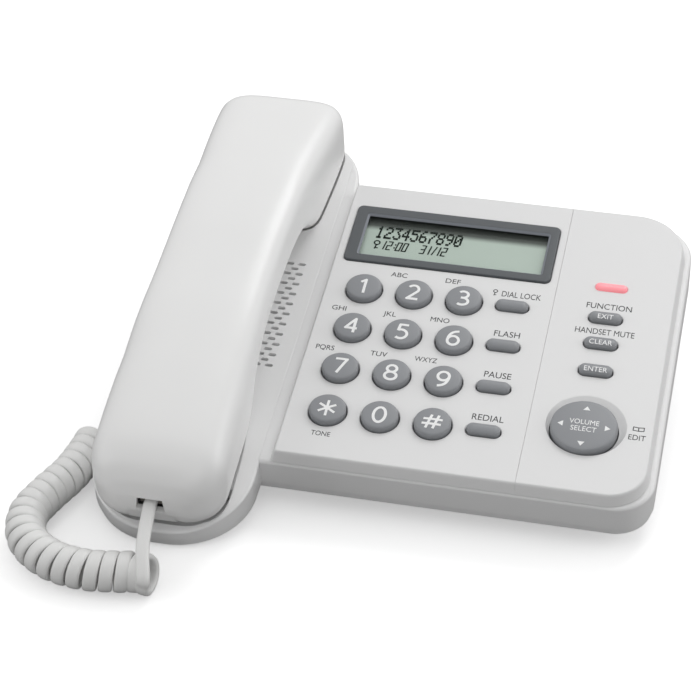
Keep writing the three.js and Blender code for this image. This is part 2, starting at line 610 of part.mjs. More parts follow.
// Under the plates: membranes, board, speaker, hook switch and the two sockets.
const MEMBRANE = [-6.4, -5.4];
const BOARD_SPAN = [-8.5, -6.9];
add('keypad_membrane', prism(roundRect(-81, -5, 9, 93, 3), ...MEMBRANE), SILICONE);
add('function_membrane', prism(roundRect(4, 37, 12, 92, 3), ...MEMBRANE), SILICONE);
add('main_circuit_board', prism(roundRect(-82, 40.5, 4, 94.5, [8, 1, 1, 1]), ...BOARD_SPAN), BOARD);
const speakerProfile = [[0, -14], [9, -14], [9, -11], [16.5, -9.4], [16.5, -8], [0, -8]];
add('base_speaker', turned(speakerProfile, -111.5, 71, 24), DARK);
const aroundHook = (wide, long, h0, h1) =>
  box(GRIP_U - wide / 2, GRIP_U + wide / 2, HOOK.v - long / 2, HOOK.v + long / 2, h0, h1);
add('hook_switch', aroundHook(12, 10, -20.5, -16.5), DARK);
add('hookswitch_plunger', aroundHook(HOOK.wide, HOOK.long, HOOK.bottom, HOOK.top), WHITE);
add('base_handset_jack', socket([CRADLE.left + GAP, CRADLE.left + JACK.deep],
  [JACK.v - JACK.wide / 2, JACK.v + JACK.wide / 2],
  [JACK.h - JACK.high / 2, JACK.h + JACK.high / 2], [-3, 0]), DARK);
add('line_jack', socket([LINE.u - LINE.wide / 2, LINE.u + LINE.wide / 2],
  [BASE.back - LINE.deep, BASE.back - GAP],
  [LINE.h - LINE.high / 2, LINE.h + LINE.high / 2], [0, 3]), DARK);
const WALL_HOOK = { wide: 10, v: 99, thick: 2.5, top: -0.6 };
add('handset_hook', box(GRIP_U - WALL_HOOK.wide / 2, GRIP_U + WALL_HOOK.wide / 2, WALL_HOOK.v,
  WALL_HOOK.v + WALL_HOOK.thick, CRADLE_FLOOR + GAP, WALL_HOOK.top), WHITE);

// Battery bay.
add('battery_door', batteryDoor(), WHITE);
const cell = (row) => solid(new THREE.CylinderGeometry(CELL.r, CELL.r, CELL.length, 14)
  .rotateZ(Math.PI / 2)
  .translate((BAY.left + BAY.right) / 2, BAY.front + CELL.edge + row * CELL.pitch, CELL.h));
[0, 1, 2].forEach((row) => add(`battery_${row + 1}`, cell(row), CELL_SKIN));

// What the base stands on.
const housingHead = (v) => bottomAt(v) - GAP;
const standHead = (v) => levelAt(v, GROUND + STAND.pad);
const rearFootV = STAND.back - STAND.corner / 2;
add('desk_stand', deskStand(), WHITE);
add('foot_front_left', foot(GRIP_U, -14, FOOT_R, housingHead), RUBBER, root);
add('foot_front_right', foot(22, 30, FOOT_R, housingHead), RUBBER, root);
add('foot_rear_left', foot(STAND.left + STAND.corner / 2, rearFootV, FOOT_R, standHead), RUBBER, root);
add('foot_rear_right', foot(STAND.right - STAND.corner / 2, rearFootV, FOOT_R, standHead), RUBBER, root);

const SCREWS = [[-138, 60], [34, 36], [34, 122]];
const SCREW = { head: 2.6, headTop: 1.6, shank: 1.3, tip: 4.2 };
SCREWS.forEach(([u, v], i) => {
  const h = bottomAt(v) + FLOOR_T;
  add(`housing_screw_${i + 1}`, turned([[0, h + GAP], [SCREW.head, h + GAP], [SCREW.head, h + SCREW.headTop],
    [SCREW.shank, h + SCREW.headTop], [SCREW.shank, h + SCREW.tip], [0, h + SCREW.tip]], u, v, 10), STEEL);
});

// Handset.
const [topShell, bottomShell] = handsetShells();
add('handset_top_shell', largest(topShell), WHITE);
add('handset_bottom_shell', largest(bottomShell), WHITE);
add('microphone', disc(GRIP_U, MOUTH_V, 5, -6.6, -1.5), DARK);
const capsuleProfile = [[0, -6.2], [10.5, -6.2], [10.5, -4.6], [7, -1], [0, -1]];
add('receiver_capsule', turned(capsuleProfile, GRIP_U, EAR_V, 20), DARK);
add('handset_weight', box(GRIP_U - 9, GRIP_U + 9, 48, 92, 14, 22), STEEL);
add('handset_jack', socket([GRIP_U - 6, GRIP_U + 6], [-31, -20.5],
  [HANDSET.jackH - 4.4, HANDSET.jackH + 4.4], [0, -3]), DARK);

// Cord and its two plugs.
add('handset_cord_plug', box(GRIP_U - PLUG.wide / 2, GRIP_U + PLUG.wide / 2, -33, -23,
  HANDSET.jackH - PLUG.high / 2, HANDSET.jackH + PLUG.high / 2), CLEAR);
add('base_cord_plug', box(CRADLE.left - 2.5, CRADLE.left + 10, JACK.v - PLUG.wide / 2,
  JACK.v + PLUG.wide / 2, JACK.h - PLUG.high / 2, JACK.h + PLUG.high / 2), CLEAR);
add('coiled_cord', coiledCord(), CORD, root);

// The origin is the centre of the object's footprint box, at desk level.
root.updateMatrixWorld(true);
const bounds = new THREE.Box3().setFromObject(root, true);
const centre = bounds.getCenter(new THREE.Vector3());
root.position.set(-centre.x, -centre.y, -bounds.min.z);
root.updateMatrixWorld(true);

export default root;
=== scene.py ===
"""A corded desk telephone: the fine visual pieces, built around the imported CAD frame.

Shapes are laid out in the slab frame of the telephone's face, in millimetres: u to the right,
v up the slope and h out of the face. SLAB carries slab points into the row frame, in metres.
"""
import json
import math

import bmesh
import bpy
import numpy as np
from mathutils import Matrix, Vector


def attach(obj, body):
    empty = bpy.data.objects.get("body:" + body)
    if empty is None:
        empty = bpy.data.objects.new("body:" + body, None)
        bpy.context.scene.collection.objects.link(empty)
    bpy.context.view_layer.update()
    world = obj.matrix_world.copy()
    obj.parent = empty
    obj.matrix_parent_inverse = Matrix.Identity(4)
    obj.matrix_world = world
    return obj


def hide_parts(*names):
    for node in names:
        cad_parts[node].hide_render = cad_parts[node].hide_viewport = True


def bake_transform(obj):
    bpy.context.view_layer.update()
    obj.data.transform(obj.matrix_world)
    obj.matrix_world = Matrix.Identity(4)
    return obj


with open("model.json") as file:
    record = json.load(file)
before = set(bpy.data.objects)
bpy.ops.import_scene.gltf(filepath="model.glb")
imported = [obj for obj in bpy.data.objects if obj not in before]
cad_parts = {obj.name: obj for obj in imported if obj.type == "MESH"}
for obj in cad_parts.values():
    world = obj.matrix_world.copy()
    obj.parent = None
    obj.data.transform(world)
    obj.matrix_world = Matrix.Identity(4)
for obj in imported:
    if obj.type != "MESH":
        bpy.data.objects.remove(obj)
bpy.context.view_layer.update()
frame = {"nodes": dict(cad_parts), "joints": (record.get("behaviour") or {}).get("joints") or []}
MM = 0.001

# ---------------- slab frame, from the joints
JOINTS = {joint["name"]: joint for joint in frame["joints"]}
NORMAL = Vector(JOINTS["handset_lift"]["axis"]).normalized()
SLOPE = Vector(JOINTS["navigator_roll"]["axis"]).normalized()
ACROSS = SLOPE.cross(NORMAL)
PIVOT = (19.8, 28.4, -1.0)                 # the navigator's pivot in slab millimetres
ORIGIN = Vector(JOINTS["navigator_pitch"]["pos_m"])
for step, axis in zip(PIVOT, (ACROSS, SLOPE, NORMAL)):
    ORIGIN = ORIGIN - axis * step * MM
TURN = Matrix((ACROSS, SLOPE, NORMAL)).transposed().to_4x4()
SLAB = Matrix.Translation(ORIGIN) @ TURN @ Matrix.Scale(MM, 4)
TO_SLAB = SLAB.inverted()
LEVEL = Matrix.Translation(ORIGIN) @ Matrix.Scale(MM, 4)     # level millimetres from the slab origin


def extent(node):
    """Lowest and highest corner of a CAD node in slab millimetres."""
    points = np.array([TO_SLAB @ v.co for v in frame["nodes"][node].data.vertices])
    return points.min(0), points.max(0)


def centre(node):
    low, high = extent(node)
    return (low + high) / 2


def around(node, gap):
    """The u, v and h ranges of a CAD node with a gap on every side."""
    return [(low - gap, high + gap) for low, high in zip(*extent(node))]


# ---------------- driving dimensions (mm)
housing_low, housing_high = extent("upper_housing")
CRADLE_LEFT, CRADLE_FRONT = housing_low[0], housing_low[1]
CRADLE_BACK, BASE_RIGHT = housing_high[1], housing_high[0]
CRADLE_RIGHT = -90.8          # groove between the cradle and the deck
TAIL_RIGHT = -86.8            # outer wall of the cradle behind the deck
BASE_FRONT, BASE_BACK = -2.0, 143.0
CRADLE_R, FRONT_R, BACK_R = 27.0, 13.0, 17.0
WALL = 2.2
LEDGE = -4.9
CEILING = -12.8               # underside of the cradle's thick floor
GRIP_U = (CRADLE_LEFT + CRADLE_RIGHT) / 2 + 0.15
ARC = 20                      # steps in a quarter turn of a housing corner
TINY = 0.05


def underside(v):
    """Height of the housing's underside plane at v."""
    return -19.4 - 0.045 * (v - BASE_FRONT)


def seam_height(v):
    return underside(v) + 3.1


def clamp(x, low, high):
    return max(low, min(high, x))


def bulge(x, power):
    """x to a power, with its sign kept."""
    return math.copysign(abs(x) ** power, x)


def evenly(line, steps):
    """Points spaced evenly along a line of many points, and the line's length."""
    lengths = np.concatenate([[0], np.cumsum(np.linalg.norm(np.diff(line, axis=0), axis=1))])
    wanted = np.linspace(0, lengths[-1], steps + 1)
    return np.stack([np.interp(wanted, lengths, column) for column in line.T], 1), lengths[-1]


def directions(line):
    """Unit directions along a line of points."""
    ways = np.gradient(line, axis=0)
    return ways / np.linalg.norm(ways, axis=1)[:, None]


def curve(points):
    """A smooth function through (v, value) points that never overshoots them."""
    xs, ys = [p[0] for p in points], [p[1] for p in points]
    slopes = [(ys[i + 1] - ys[i]) / (xs[i + 1] - xs[i]) for i in range(len(xs) - 1)]
    inner = [0 if a * b <= 0 else 2 * a * b / (a + b) for a, b in zip(slopes, slopes[1:])]
    tangents = [slopes[0]] + inner + [slopes[-1]]

    def value(v):
        x = clamp(v, xs[0], xs[-1])
        i = next((k for k in range(len(xs) - 1) if x <= xs[k + 1]), len(xs) - 2)
        step = xs[i + 1] - xs[i]
        t = (x - xs[i]) / step
        rise = 3 * t * t - 2 * t ** 3
        bend = step * (tangents[i] * (t ** 3 - 2 * t * t + t) + tangents[i + 1] * (t ** 3 - t * t))
        return ys[i] + (ys[i + 1] - ys[i]) * rise + bend

    return value


# ---------------- materials
def node(tree, kind, links=None, **inputs):
    """Adds a shader node, with links and values for its inputs."""
    made = tree.nodes.new(kind)
    for key, value in inputs.items():
        made.inputs[key.replace("_", " ")].default_value = value
    for key, source in (links or {}).items():
        tree.links.new(source, made.inputs[key])
    return made


def maths(tree, operation, a, b):
    """The result of a sum on a socket and on a number or another socket."""
    made = node(tree, "ShaderNodeMath", {0: a})
    made.operation = operation
    if isinstance(b, float):
        made.inputs[1].default_value = b
    else:
        tree.links.new(b, made.inputs[1])
    return made


def distance_along(tree, place, direction):
    """How far a place lies along a direction."""
    made = node(tree, "ShaderNodeVectorMath", {0: place})
    made.operation = "DOT_PRODUCT"
    made.inputs[1].default_value = direction
    return made.outputs["Value"]


def colour_mix(tree, factor, a, b):
    made = tree.nodes.new("ShaderNodeMix")
    made.data_type = "RGBA"
    made.inputs["A"].default_value = (*a, 1)
    made.inputs["B"].default_value = (*b, 1)
    tree.links.new(factor, made.inputs["Factor"])
    return made.outputs["Result"]


def new_material(name):
    """A material, its node tree and its main shader. It is named as its slot in the record, if it has one."""
    material = bpy.data.materials.new(name)
    material["slot"] = name
    material.use_nodes = True
    return material, material.node_tree, material.node_tree.nodes["Principled BSDF"]


def moulded(name, color, roughness=0.4, grain=0.05, grain_mm=0.35, tint=0.03, metallic=0.0, **more):
    """Moulded plastic: a mottled tint, uneven gloss and a fine moulded grain."""
    material, tree, shader = new_material(name)
    place = node(tree, "ShaderNodeTexCoord").outputs["Object"]
    cloud = node(tree, "ShaderNodeTexNoise", {"Vector": place}, Scale=45.0, Detail=4.0, Roughness=0.6)
    mottled = colour_mix(tree, cloud.outputs["Fac"], [c * (1 - tint) for c in color],
                         [min(1, c * (1 + tint)) for c in color])
    tree.links.new(mottled, shader.inputs["Base Color"])
    gloss = node(tree, "ShaderNodeMapRange", {"Value": cloud.outputs["Fac"]},
                 To_Min=roughness * 0.88, To_Max=roughness * 1.12)
    tree.links.new(gloss.outputs["Result"], shader.inputs["Roughness"])
    fine = node(tree, "ShaderNodeTexNoise", {"Vector": place}, Scale=1 / (grain_mm * MM), Detail=2.0)
    bump = node(tree, "ShaderNodeBump", {"Height": fine.outputs["Fac"]}, Strength=grain, Distance=0.0001)
    tree.links.new(bump.outputs["Normal"], shader.inputs["Normal"])
    shader.inputs["Metallic"].default_value = metallic
    for key, value in more.items():
        shader.inputs[key.replace("_", " ")].default_value = value
    return material


def paint_shade_along(material, direction, start, end, share):
    """Paints shade into a material: fades its colour to a share of itself between two places along a
    direction.
    """
    tree = material.node_tree
    color = tree.nodes["Principled BSDF"].inputs["Base Color"]
    place = tree.nodes.new("ShaderNodeNewGeometry").outputs["Position"]
    fade = node(tree, "ShaderNodeMapRange", {"Value": distance_along(tree, place, direction)},
                From_Min=start, From_Max=end, To_Min=1.0, To_Max=share)
    fade.interpolation_type = "SMOOTHSTEP"
    scaled = node(tree, "ShaderNodeVectorMath", {0: color.links[0].from_socket})
    scaled.operation = "SCALE"
    tree.links.new(fade.outputs["Result"], scaled.inputs["Scale"])
    tree.links.new(scaled.outputs["Vector"], color)


def clear_pane(name):
    """Clear moulded window: lets light through and mirrors a little, with faint flow marks."""
    material, tree, shader = new_material(name)
    tree.nodes.remove(shader)
    place = node(tree, "ShaderNodeTexCoord").outputs["Object"]
    flow = node(tree, "ShaderNodeTexNoise", {"Vector": place}, Scale=60.0, Detail=2.0)
    bump = node(tree, "ShaderNodeBump", {"Height": flow.outputs["Fac"]}, Strength=0.02, Distance=0.0002)
    through = node(tree, "ShaderNodeBsdfTransparent", Color=(0.96, 0.98, 0.965, 1))
    mirror = node(tree, "ShaderNodeBsdfGlossy", {"Normal": bump.outputs["Normal"]}, Roughness=0.06)
    edge = node(tree, "ShaderNodeFresnel", IOR=1.18)
    inside = tree.nodes.new("ShaderNodeNewGeometry").outputs["Backfacing"]
    outside = maths(tree, "SUBTRACT", edge.outputs["Fac"], inside)
    outside.use_clamp = True
    mix = node(tree, "ShaderNodeMixShader", {"Fac": outside.outputs["Value"], 1: through.outputs["BSDF"],
                                             2: mirror.outputs["BSDF"]})
    tree.links.new(mix.outputs["Shader"], tree.nodes["Material Output"].inputs["Surface"])
    return material


HOUSING = moulded("housing_white", (0.84, 0.84, 0.84), 0.36, 0.05, 0.4, 0.012)
PANEL = moulded("panel_white", (0.8, 0.8, 0.8), 0.42, 0.08, 0.3, 0.012)
HANDSET = moulded("handset_white", (0.88, 0.88, 0.875), 0.3, 0.03, 0.5, 0.012)
KEY_GREY = moulded("key_grey", (0.268, 0.277, 0.292), 0.42, 0.1, 0.25, 0.05)
BEZEL_GREY = moulded("bezel_grey", (0.088, 0.097, 0.105), 0.5, 0.1, 0.3, 0.04)
# painted highlight: a lighter copy of the frame's grey, standing in for the light caught by the frame's inner
# edge
FRAME_HIGHLIGHT_GREY = moulded("trim_grey", (0.22, 0.235, 0.265), 0.4, 0.05, 0.3, 0.03)
# the display module's own green; build_display paints a shadow into it along its back edge
LCD_GREEN = moulded("display_module", (0.57, 0.622, 0.588), 0.3, 0.02, 0.5, 0.02)
LAMP_PINK = moulded("lamp_red", (1.0, 0.3, 0.34), 0.25, 0.02, 0.6, 0.03, Emission_Strength=0.25,
                    Emission_Color=(1.0, 0.36, 0.4, 1))
CORD_WHITE = moulded("cord_white", (0.82, 0.82, 0.81), 0.38, 0.06, 0.6, 0.02)
SILICONE = moulded("membrane_silicone", (0.5, 0.53, 0.53), 0.7, 0.1, 0.3, 0.03)
BOARD = moulded("circuit_board", (0.03, 0.14, 0.06), 0.45, 0.25, 0.9, 0.1)
DARK = moulded("dark_plastic", (0.035, 0.037, 0.04), 0.5, 0.15, 0.3, 0.08)
CELL_SKIN = moulded("battery_skin", (0.05, 0.22, 0.12), 0.35, 0.05, 0.6, 0.05)
RUBBER = moulded("foot_rubber", (0.03, 0.03, 0.032), 0.8, 0.3, 0.25, 0.1)
STEEL = moulded("bare_steel", (0.5, 0.51, 0.52), 0.35, 0.15, 0.2, 0.06, 1.0)
PLUG_CLEAR = moulded("clear_plug", (0.32, 0.3, 0.28), 0.15, 0.03, 0.6, 0.03, Alpha=0.8)
DIGIT_WHITE = moulded("digit_white", (0.92, 0.92, 0.92), 0.5, 0.1, 0.2, 0.02)
LABEL_INK = moulded("label_ink", (0.035, 0.037, 0.04), 0.6, 0.1, 0.2, 0.1)
LCD_INK = moulded("lcd_ink", (0.02, 0.026, 0.022), 0.7, 0.02, 0.3, 0.1, Specular_IOR_Level=0.1)
WINDOW = clear_pane("display_window")


# ---------------- mesh helpers
def link(name, mesh):
    obj = bpy.data.objects.new(name, mesh)
    bpy.context.scene.collection.objects.link(obj)
    return obj


def raw_mesh(name, points, faces, place=SLAB):
    """A mesh object in the row frame from slab points, with its faces turned outwards."""
    mesh = bpy.data.meshes.new(name)
    mesh.from_pydata([place @ Vector(p) for p in points], [], faces)
    form = bmesh.new()
    form.from_mesh(mesh)
    bmesh.ops.recalc_face_normals(form, faces=form.faces)
    form.to_mesh(mesh)
    form.free()
    return link(name, mesh)


def join_rows(rows, loop=False):
    """Points and quads through rings that all have the same number of points."""
    n = len(rows[0])
    points = [p for row in rows for p in row]
    faces = []
    for j in range(len(rows) if loop else len(rows) - 1):
        a, b = j * n, (j + 1) % len(rows) * n
        faces += [(a + k, a + (k + 1) % n, b + (k + 1) % n, b + k) for k in range(n)]
    return points, faces


def lofted(name, rings, loop=False, place=SLAB):
    """A closed body through rings: capped at both ends, or joined end to end."""
    points, faces = join_rows(rings, loop)
    if not loop:
        n = len(rings[0])
        faces.append(tuple(range(n)))
        faces.append(tuple(range(len(points) - 1, len(points) - n - 1, -1)))
    return raw_mesh(name, points, faces, place)


def at(outline, height):
    """An outline raised to a height, which may be a function of v."""
    if callable(height):
        return [(u, v, height(v)) for u, v in outline]
    return [(u, v, height) for u, v in outline]


def oval(u, v, ru, rv, start=0, end=360, steps=28):
    """Points of an oval round (u, v), from one angle in degrees to another."""
    angles = [math.radians(start + (end - start) * k / steps) for k in range(steps + 1)]
    return [(u + ru * math.cos(a), v + rv * math.sin(a)) for a in angles]


def arc(u, v, r, start, end, steps=ARC):
    return oval(u, v, r, r, start, end, steps)


def circle(u, v, r, steps=64):
    return arc(u, v, r, 0, 360 * (1 - 1 / steps), steps - 1)


def round_rect(u0, u1, v0, v1, radii, steps=8):
    """Outline with a radius of its own at the front right, back right, back left and front left."""
    fr, br, bl, fl = [max(r, TINY) for r in radii]
    return (arc(u1 - fr, v0 + fr, fr, -90, 0, steps) + arc(u1 - br, v1 - br, br, 0, 90, steps)
            + arc(u0 + bl, v1 - bl, bl, 90, 180, steps) + arc(u0 + fl, v0 + fl, fl, 180, 270, steps))


def stadium(u, v, length, width, grow=0.0, steps=10):
    a, b = length / 2 + grow, width / 2 + grow
    return round_rect(u - a, u + a, v - b, v + b, [b - TINY] * 4, steps)


def grown(low, high, grow, radius):
    """A rounded rectangle between two corners, grown outwards."""
    return round_rect(low[0] - grow, high[0] + grow, low[1] - grow, high[1] + grow, [radius + grow] * 4)


def turned(name, profile, u, v, steps=64):
    """A body turned about h through (u, v); the profile lists (radius, height)."""
    return lofted(name, [at(circle(u, v, r, steps), h) for r, h in profile])


def prism(shape, corners, surface, low, high):
    """Adds a prism over (u, v) corners to shape, between two heights above a surface.
    shape is a pair of lists, for the points and the faces."""
    points, faces = shape
    start, n = len(points), len(corners)
    for lift in (low, high):
        points += [(u, v, surface(u, v) + lift) for u, v in corners]
    faces += [tuple(range(start, start + n)), tuple(range(start + n, start + 2 * n))]
    faces += [(start + k, start + (k + 1) % n, start + n + (k + 1) % n, start + n + k) for k in range(n)]


def bar(shape, a, b, width, height):
    """Adds a thin raised bar between two (u, v) points to shape."""
    a, b = Vector(a), Vector(b)
    along = (b - a).normalized() * width * 0.3
    side = Vector((-along.y, along.x)).normalized() * width / 2
    corners = [a - along + side, b + along + side, b + along - side, a - along - side]
    prism(shape, corners, lambda u, v: height, 0, 0.05)


def block(name, u, v, h, bevel=0.0):
    """A box between the pairs u, v and h, with its upright edges rounded."""
    outline = round_rect(u[0], u[1], v[0], v[1], [bevel] * 4, 4)
    return lofted(name, [at(outline, h[0]), at(outline, h[1])])


def fillet(radius, steps=5):
    """Inset and drop pairs of a rounded edge, from the wall to the top face."""
    angles = [math.radians(90 * k / steps) for k in range(steps + 1)]
    return [(radius * (1 - math.cos(a)), radius * (1 - math.sin(a))) for a in angles]


def bake(obj):
    """Turns an object's modifiers into its mesh."""
    graph = bpy.context.evaluated_depsgraph_get()
    mesh = bpy.data.meshes.new_from_object(obj.evaluated_get(graph))
    obj.modifiers.clear()
    old, obj.data = obj.data, mesh
    bpy.data.meshes.remove(old)


def merged(name, objects):
    """One object from several separate ones."""
    form = bmesh.new()
    for obj in objects:
        form.from_mesh(obj.data)
        bpy.data.objects.remove(obj)
    mesh = bpy.data.meshes.new(name)
    form.to_mesh(mesh)
    form.free()
    return link(name, mesh)


def boolean(obj, tool, operation="DIFFERENCE"):
    """Cuts or joins obj with a tool object, which is used up."""
    modifier = obj.modifiers.new("cut", "BOOLEAN")
    modifier.object = tool
    modifier.operation = operation
    modifier.solver = "EXACT"
    bake(obj)
    bpy.data.objects.remove(tool)


def finish_piece(obj, material, body, stands_for=(), sharp=32, weighted=True):
    """Shades a piece, hangs it on its body and hides the CAD parts it stands for."""
    obj.data.materials.clear()
    obj.data.materials.append(material)
    obj.data.shade_smooth()
    obj.data.set_sharp_from_angle(angle=math.radians(sharp))
    if weighted:
        obj.modifiers.new("even_shading", "WEIGHTED_NORMAL").keep_sharp = True
    if body:
        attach(obj, body)
    if stands_for:
        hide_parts(*stands_for)


# ---------------- handset form
HANDSET_FRONT, HANDSET_BACK = extent("handset_top_shell")[0][1], extent("handset_top_shell")[1][1]
PLAN_R = 15.0                 # corner radius of the handset's ends, in plan
top_at = curve([(-36.5, 4), (-36, 9), (-34, 14.5), (-29, 19.5), (-20, 23.5), (-5, 26.5), (15, 29),
                (45, 30.8), (75, 31), (100, 29.8), (120, 27.6), (140, 24.5), (155, 21.8),
                (164, 19.5), (169, 16.5), (172, 11.5), (173, 5)])
under_at = curve([(-36.5, 0.5), (-35.5, -3), (-32.5, -6.3), (-27, -8.9), (-20, -9.6), (8, -9.6),
                  (14, -8), (21, -1), (30, 5), (44, 8), (88, 8), (102, 5.5), (111, 0), (117, -5.5),
                  (122, -8.8), (127, -9.6), (163, -9.6), (168.5, -7.5), (171.5, -4), (173, 0)])
width_at = curve([(-36.5, 24), (0, 23.8), (25, 22.8), (60, 22), (85, 22.1), (110, 22.8),
                  (135, 24.3), (155, 25), (173, 25)])
upper_power = curve([(-36.5, 3.8), (60, 4.2), (120, 4.8), (173, 5.2)])
lower_power = curve([(-36.5, 3.8), (20, 3.6), (60, 2.9), (112, 4.6), (173, 5.0)])
STATIONS = 150


def end_inset(v):
    d = min(v - HANDSET_FRONT, HANDSET_BACK - v)
    return 0 if d >= PLAN_R else PLAN_R - math.sqrt(max(0, PLAN_R ** 2 - (PLAN_R - d) ** 2))


def along_handset(margin):
    """Places along the handset, close together at its rounded ends."""
    low, high = HANDSET_FRONT + margin, HANDSET_BACK - margin
    shares = [k / STATIONS for k in range(STATIONS + 1)]
    eased = [s - 0.93 * math.sin(2 * math.pi * s) / (2 * math.pi) for s in shares]
    return [low + (high - low) * s for s in eased]


def handset_arc(v, grow, start, end, points):
    """Evenly spaced points of the section at v from one seam height round to the other.
    start and end are heights; an end of None goes right round the section."""
    inside = clamp(v, HANDSET_FRONT, HANDSET_BACK)
    half = width_at(inside) - end_inset(inside) + grow
    top, under = top_at(inside) + grow, under_at(inside) - grow
    middle, reach = (top + under) / 2, (top - under) / 2

    def angle_of(height):
        y = clamp((height - middle) / reach, -1, 1)
        power = upper_power(inside) if y > 0 else lower_power(inside)
        return math.asin(bulge(y, power / 2))

    if end is None:
        first, last = 0.0, 2 * math.pi
    elif end == "over":
        first = angle_of(start)
        last = math.pi - first
    else:
        first = math.pi - angle_of(start)
        last = 2 * math.pi + angle_of(start)
    dense = []
    for k in range(241):
        a = first + (last - first) * k / 240
        power = 2 / (upper_power(inside) if math.sin(a) > 0 else lower_power(inside))
        x, y = bulge(math.cos(a), power), bulge(math.sin(a), power)
        dense.append((GRIP_U + half * x, v, middle + reach * y))
    spaced, _ = evenly(np.array(dense), points if end is None else points - 1)
    return [tuple(p) for p in spaced[:points]]


def seam_at(v):
    """Height of the line where the two handset shells meet."""
    share = clamp(min(v - HANDSET_FRONT, HANDSET_BACK - v) / 14, 0, 1)
    return under_at(v) + 0.35 + 2.85 * share * share * (3 - 2 * share)


def handset_solid(name, grow):
    """The whole handset grown outwards, as one closed body."""
    return lofted(name, [handset_arc(v, grow, 0, None, 64) for v in along_handset(-grow)])


def front_room(margin):
    """Extra depth of the cradle's pocket under the handset's mouth end."""
    places = [v for v in along_handset(-margin) if v < 6]
    return lofted("front_room", [handset_arc(v, 0.8 + (margin - 0.8) * clamp((6 - v) / 22, 0, 1), 0, None, 64)
                                 for v in places])


def handset_shell(name, side, offset):
    """One shell of the handset with its inner face, closed along the seam."""
    n = 72
    outer = [handset_arc(v, 0, seam_at(v) + offset, side, n) for v in along_handset(0)]
    inner = [handset_arc(v, -WALL, seam_at(v) + offset, side, n)[::-1] for v in along_handset(WALL)]
    points, faces = join_rows([a + b for a, b in zip(outer, inner)])
    for a in (0, len(points) - 2 * n):
        b, c = a + n, a + 2 * n
        faces += [tuple(range(a, b)), tuple(range(b, c)), (a, b - 1, b, c - 1)]
    return raw_mesh(name, points, faces)


JACK = centre("handset_jack")


def jack_opening():
    half, low, high = 5.2, JACK[2] - 2.6, JACK[2] + 2.8
    outline = [(half, low), (half * 0.86, high), (-half * 0.86, high), (-half, low)]
    rings = [[(GRIP_U + u, v, h) for u, h in outline] for v in (HANDSET_FRONT - 6, -21)]
    return lofted("jack_opening", rings)


def listening_holes():
    """Cutters for the microphone and earpiece holes in the handset's underside."""
    mouth, ear = centre("microphone"), centre("receiver_capsule")
    holes = [(GRIP_U + d, mouth[1], 0.8) for d in (-8, -4, 0, 4, 8)]
    holes += [(GRIP_U, ear[1], 1.1)]
    holes += [(GRIP_U + 5 * math.cos(a), ear[1] + 5 * math.sin(a), 1.1)
              for a in [math.radians(60 * k) for k in range(6)]]
    cutters = [turned("hole", [(r + 0.5, -11), (r + 0.5, -9.7), (r, -9.2), (r, -5)], u, v, 20)
               for u, v, r in holes]
    return merged("holes", cutters)


def build_handset():
    top = handset_shell("handset_back_shell", "over", 0.09)
    bottom = handset_shell("handset_face_shell", "under", -0.09)
    boolean(bottom, listening_holes())
    for shell, stands_for in ((top, "handset_top_shell"), (bottom, "handset_bottom_shell")):
        boolean(shell, jack_opening())
        finish_piece(shell, HANDSET, "handset", [stands_for], sharp=40, weighted=False)


# ---------------- cradle
floor_at = curve([(-40, -11), (-34.6, -10.2), (-26, -8.4), (-12, -6.6), (4, -5), (180, -5)])
RIM_R = 0.9                   # rounding of the cradle's rim
SIDE_STEPS = 44
TAIL_FROM = math.degrees(math.acos((CRADLE_RIGHT - TAIL_RIGHT + CRADLE_R) / CRADLE_R))


def cradle_sides(inset):
    """Left and right edges of the cradle's outline, front to back, moved inwards."""
    r = CRADLE_R - inset
    front, back = CRADLE_FRONT + CRADLE_R, CRADLE_BACK - CRADLE_R
    bend = back + CRADLE_R * math.sin(math.radians(TAIL_FROM))
    straight = [(k + 1) / (SIDE_STEPS + 1) for k in range(SIDE_STEPS)]
    left = arc(CRADLE_LEFT + CRADLE_R, front, r, 270, 180)
    left += [(CRADLE_LEFT + inset, front + (back - front) * s) for s in straight]
    left += arc(CRADLE_LEFT + CRADLE_R, back, r, 180, 90)
    right = arc(CRADLE_RIGHT - CRADLE_R, front, r, -90, 0)
    right += [(CRADLE_RIGHT - inset, front + (bend - front) * s) for s in straight]
    right += arc(TAIL_RIGHT - CRADLE_R, back, r, TAIL_FROM, 90)
    return left, right


def cradle_ring(inset):
    left, right = cradle_sides(inset)
    return right + left[::-1]


def cradle_body():
    """Hollow cradle tray before its openings are cut."""
    rings = [at(cradle_ring(WALL), CEILING), at(cradle_ring(WALL), seam_height),
             at(cradle_ring(0), seam_height)]
    for inset, drop in fillet(RIM_R):
        rings.append(at(cradle_ring(inset), lambda v, drop=drop: floor_at(v) - drop))
    points, faces = join_rows(rings)
    n = len(rings[0])
    faces.append(tuple(range(n)))
    edge = len(points) - n
    side = n // 2
    across = 14
    rows = []
    left, right = cradle_sides(RIM_R)
    for k in range(side):
        row = [edge + k]
        for m in range(1, across):
            s = m / across
            u, v = [right[k][i] + (left[k][i] - right[k][i]) * s for i in (0, 1)]
            points.append((u, v, floor_at(v)))
            row.append(len(points) - 1)
        rows.append(row + [edge + n - 1 - k])
    for a, b in zip(rows, rows[1:]):
        faces += [(a[m], a[m + 1], b[m + 1], b[m]) for m in range(across)]
    return raw_mesh("cradle", points, faces)


CHIN_HALF, CHIN_FRONT, CHIN_BACK, CHIN_RIM = 22.6, -31.9, -14, 0.35


def chin_outline(grow):
    """Outline of the deep pocket under the handset's chin."""
    return round_rect(GRIP_U - CHIN_HALF - grow, GRIP_U + CHIN_HALF + grow, CHIN_FRONT - grow, CHIN_BACK,
                      [PLAN_R, 1, 1, PLAN_R], ARC)


SLOT_LENGTH, SLOT_WIDTH, SLOT_PITCH = 3.0, 1.45, 5.4
SLOT_COLUMNS = ((-98.5, 44, 11), (-100.8, 46.7, 10), (-103.1, 44, 11))


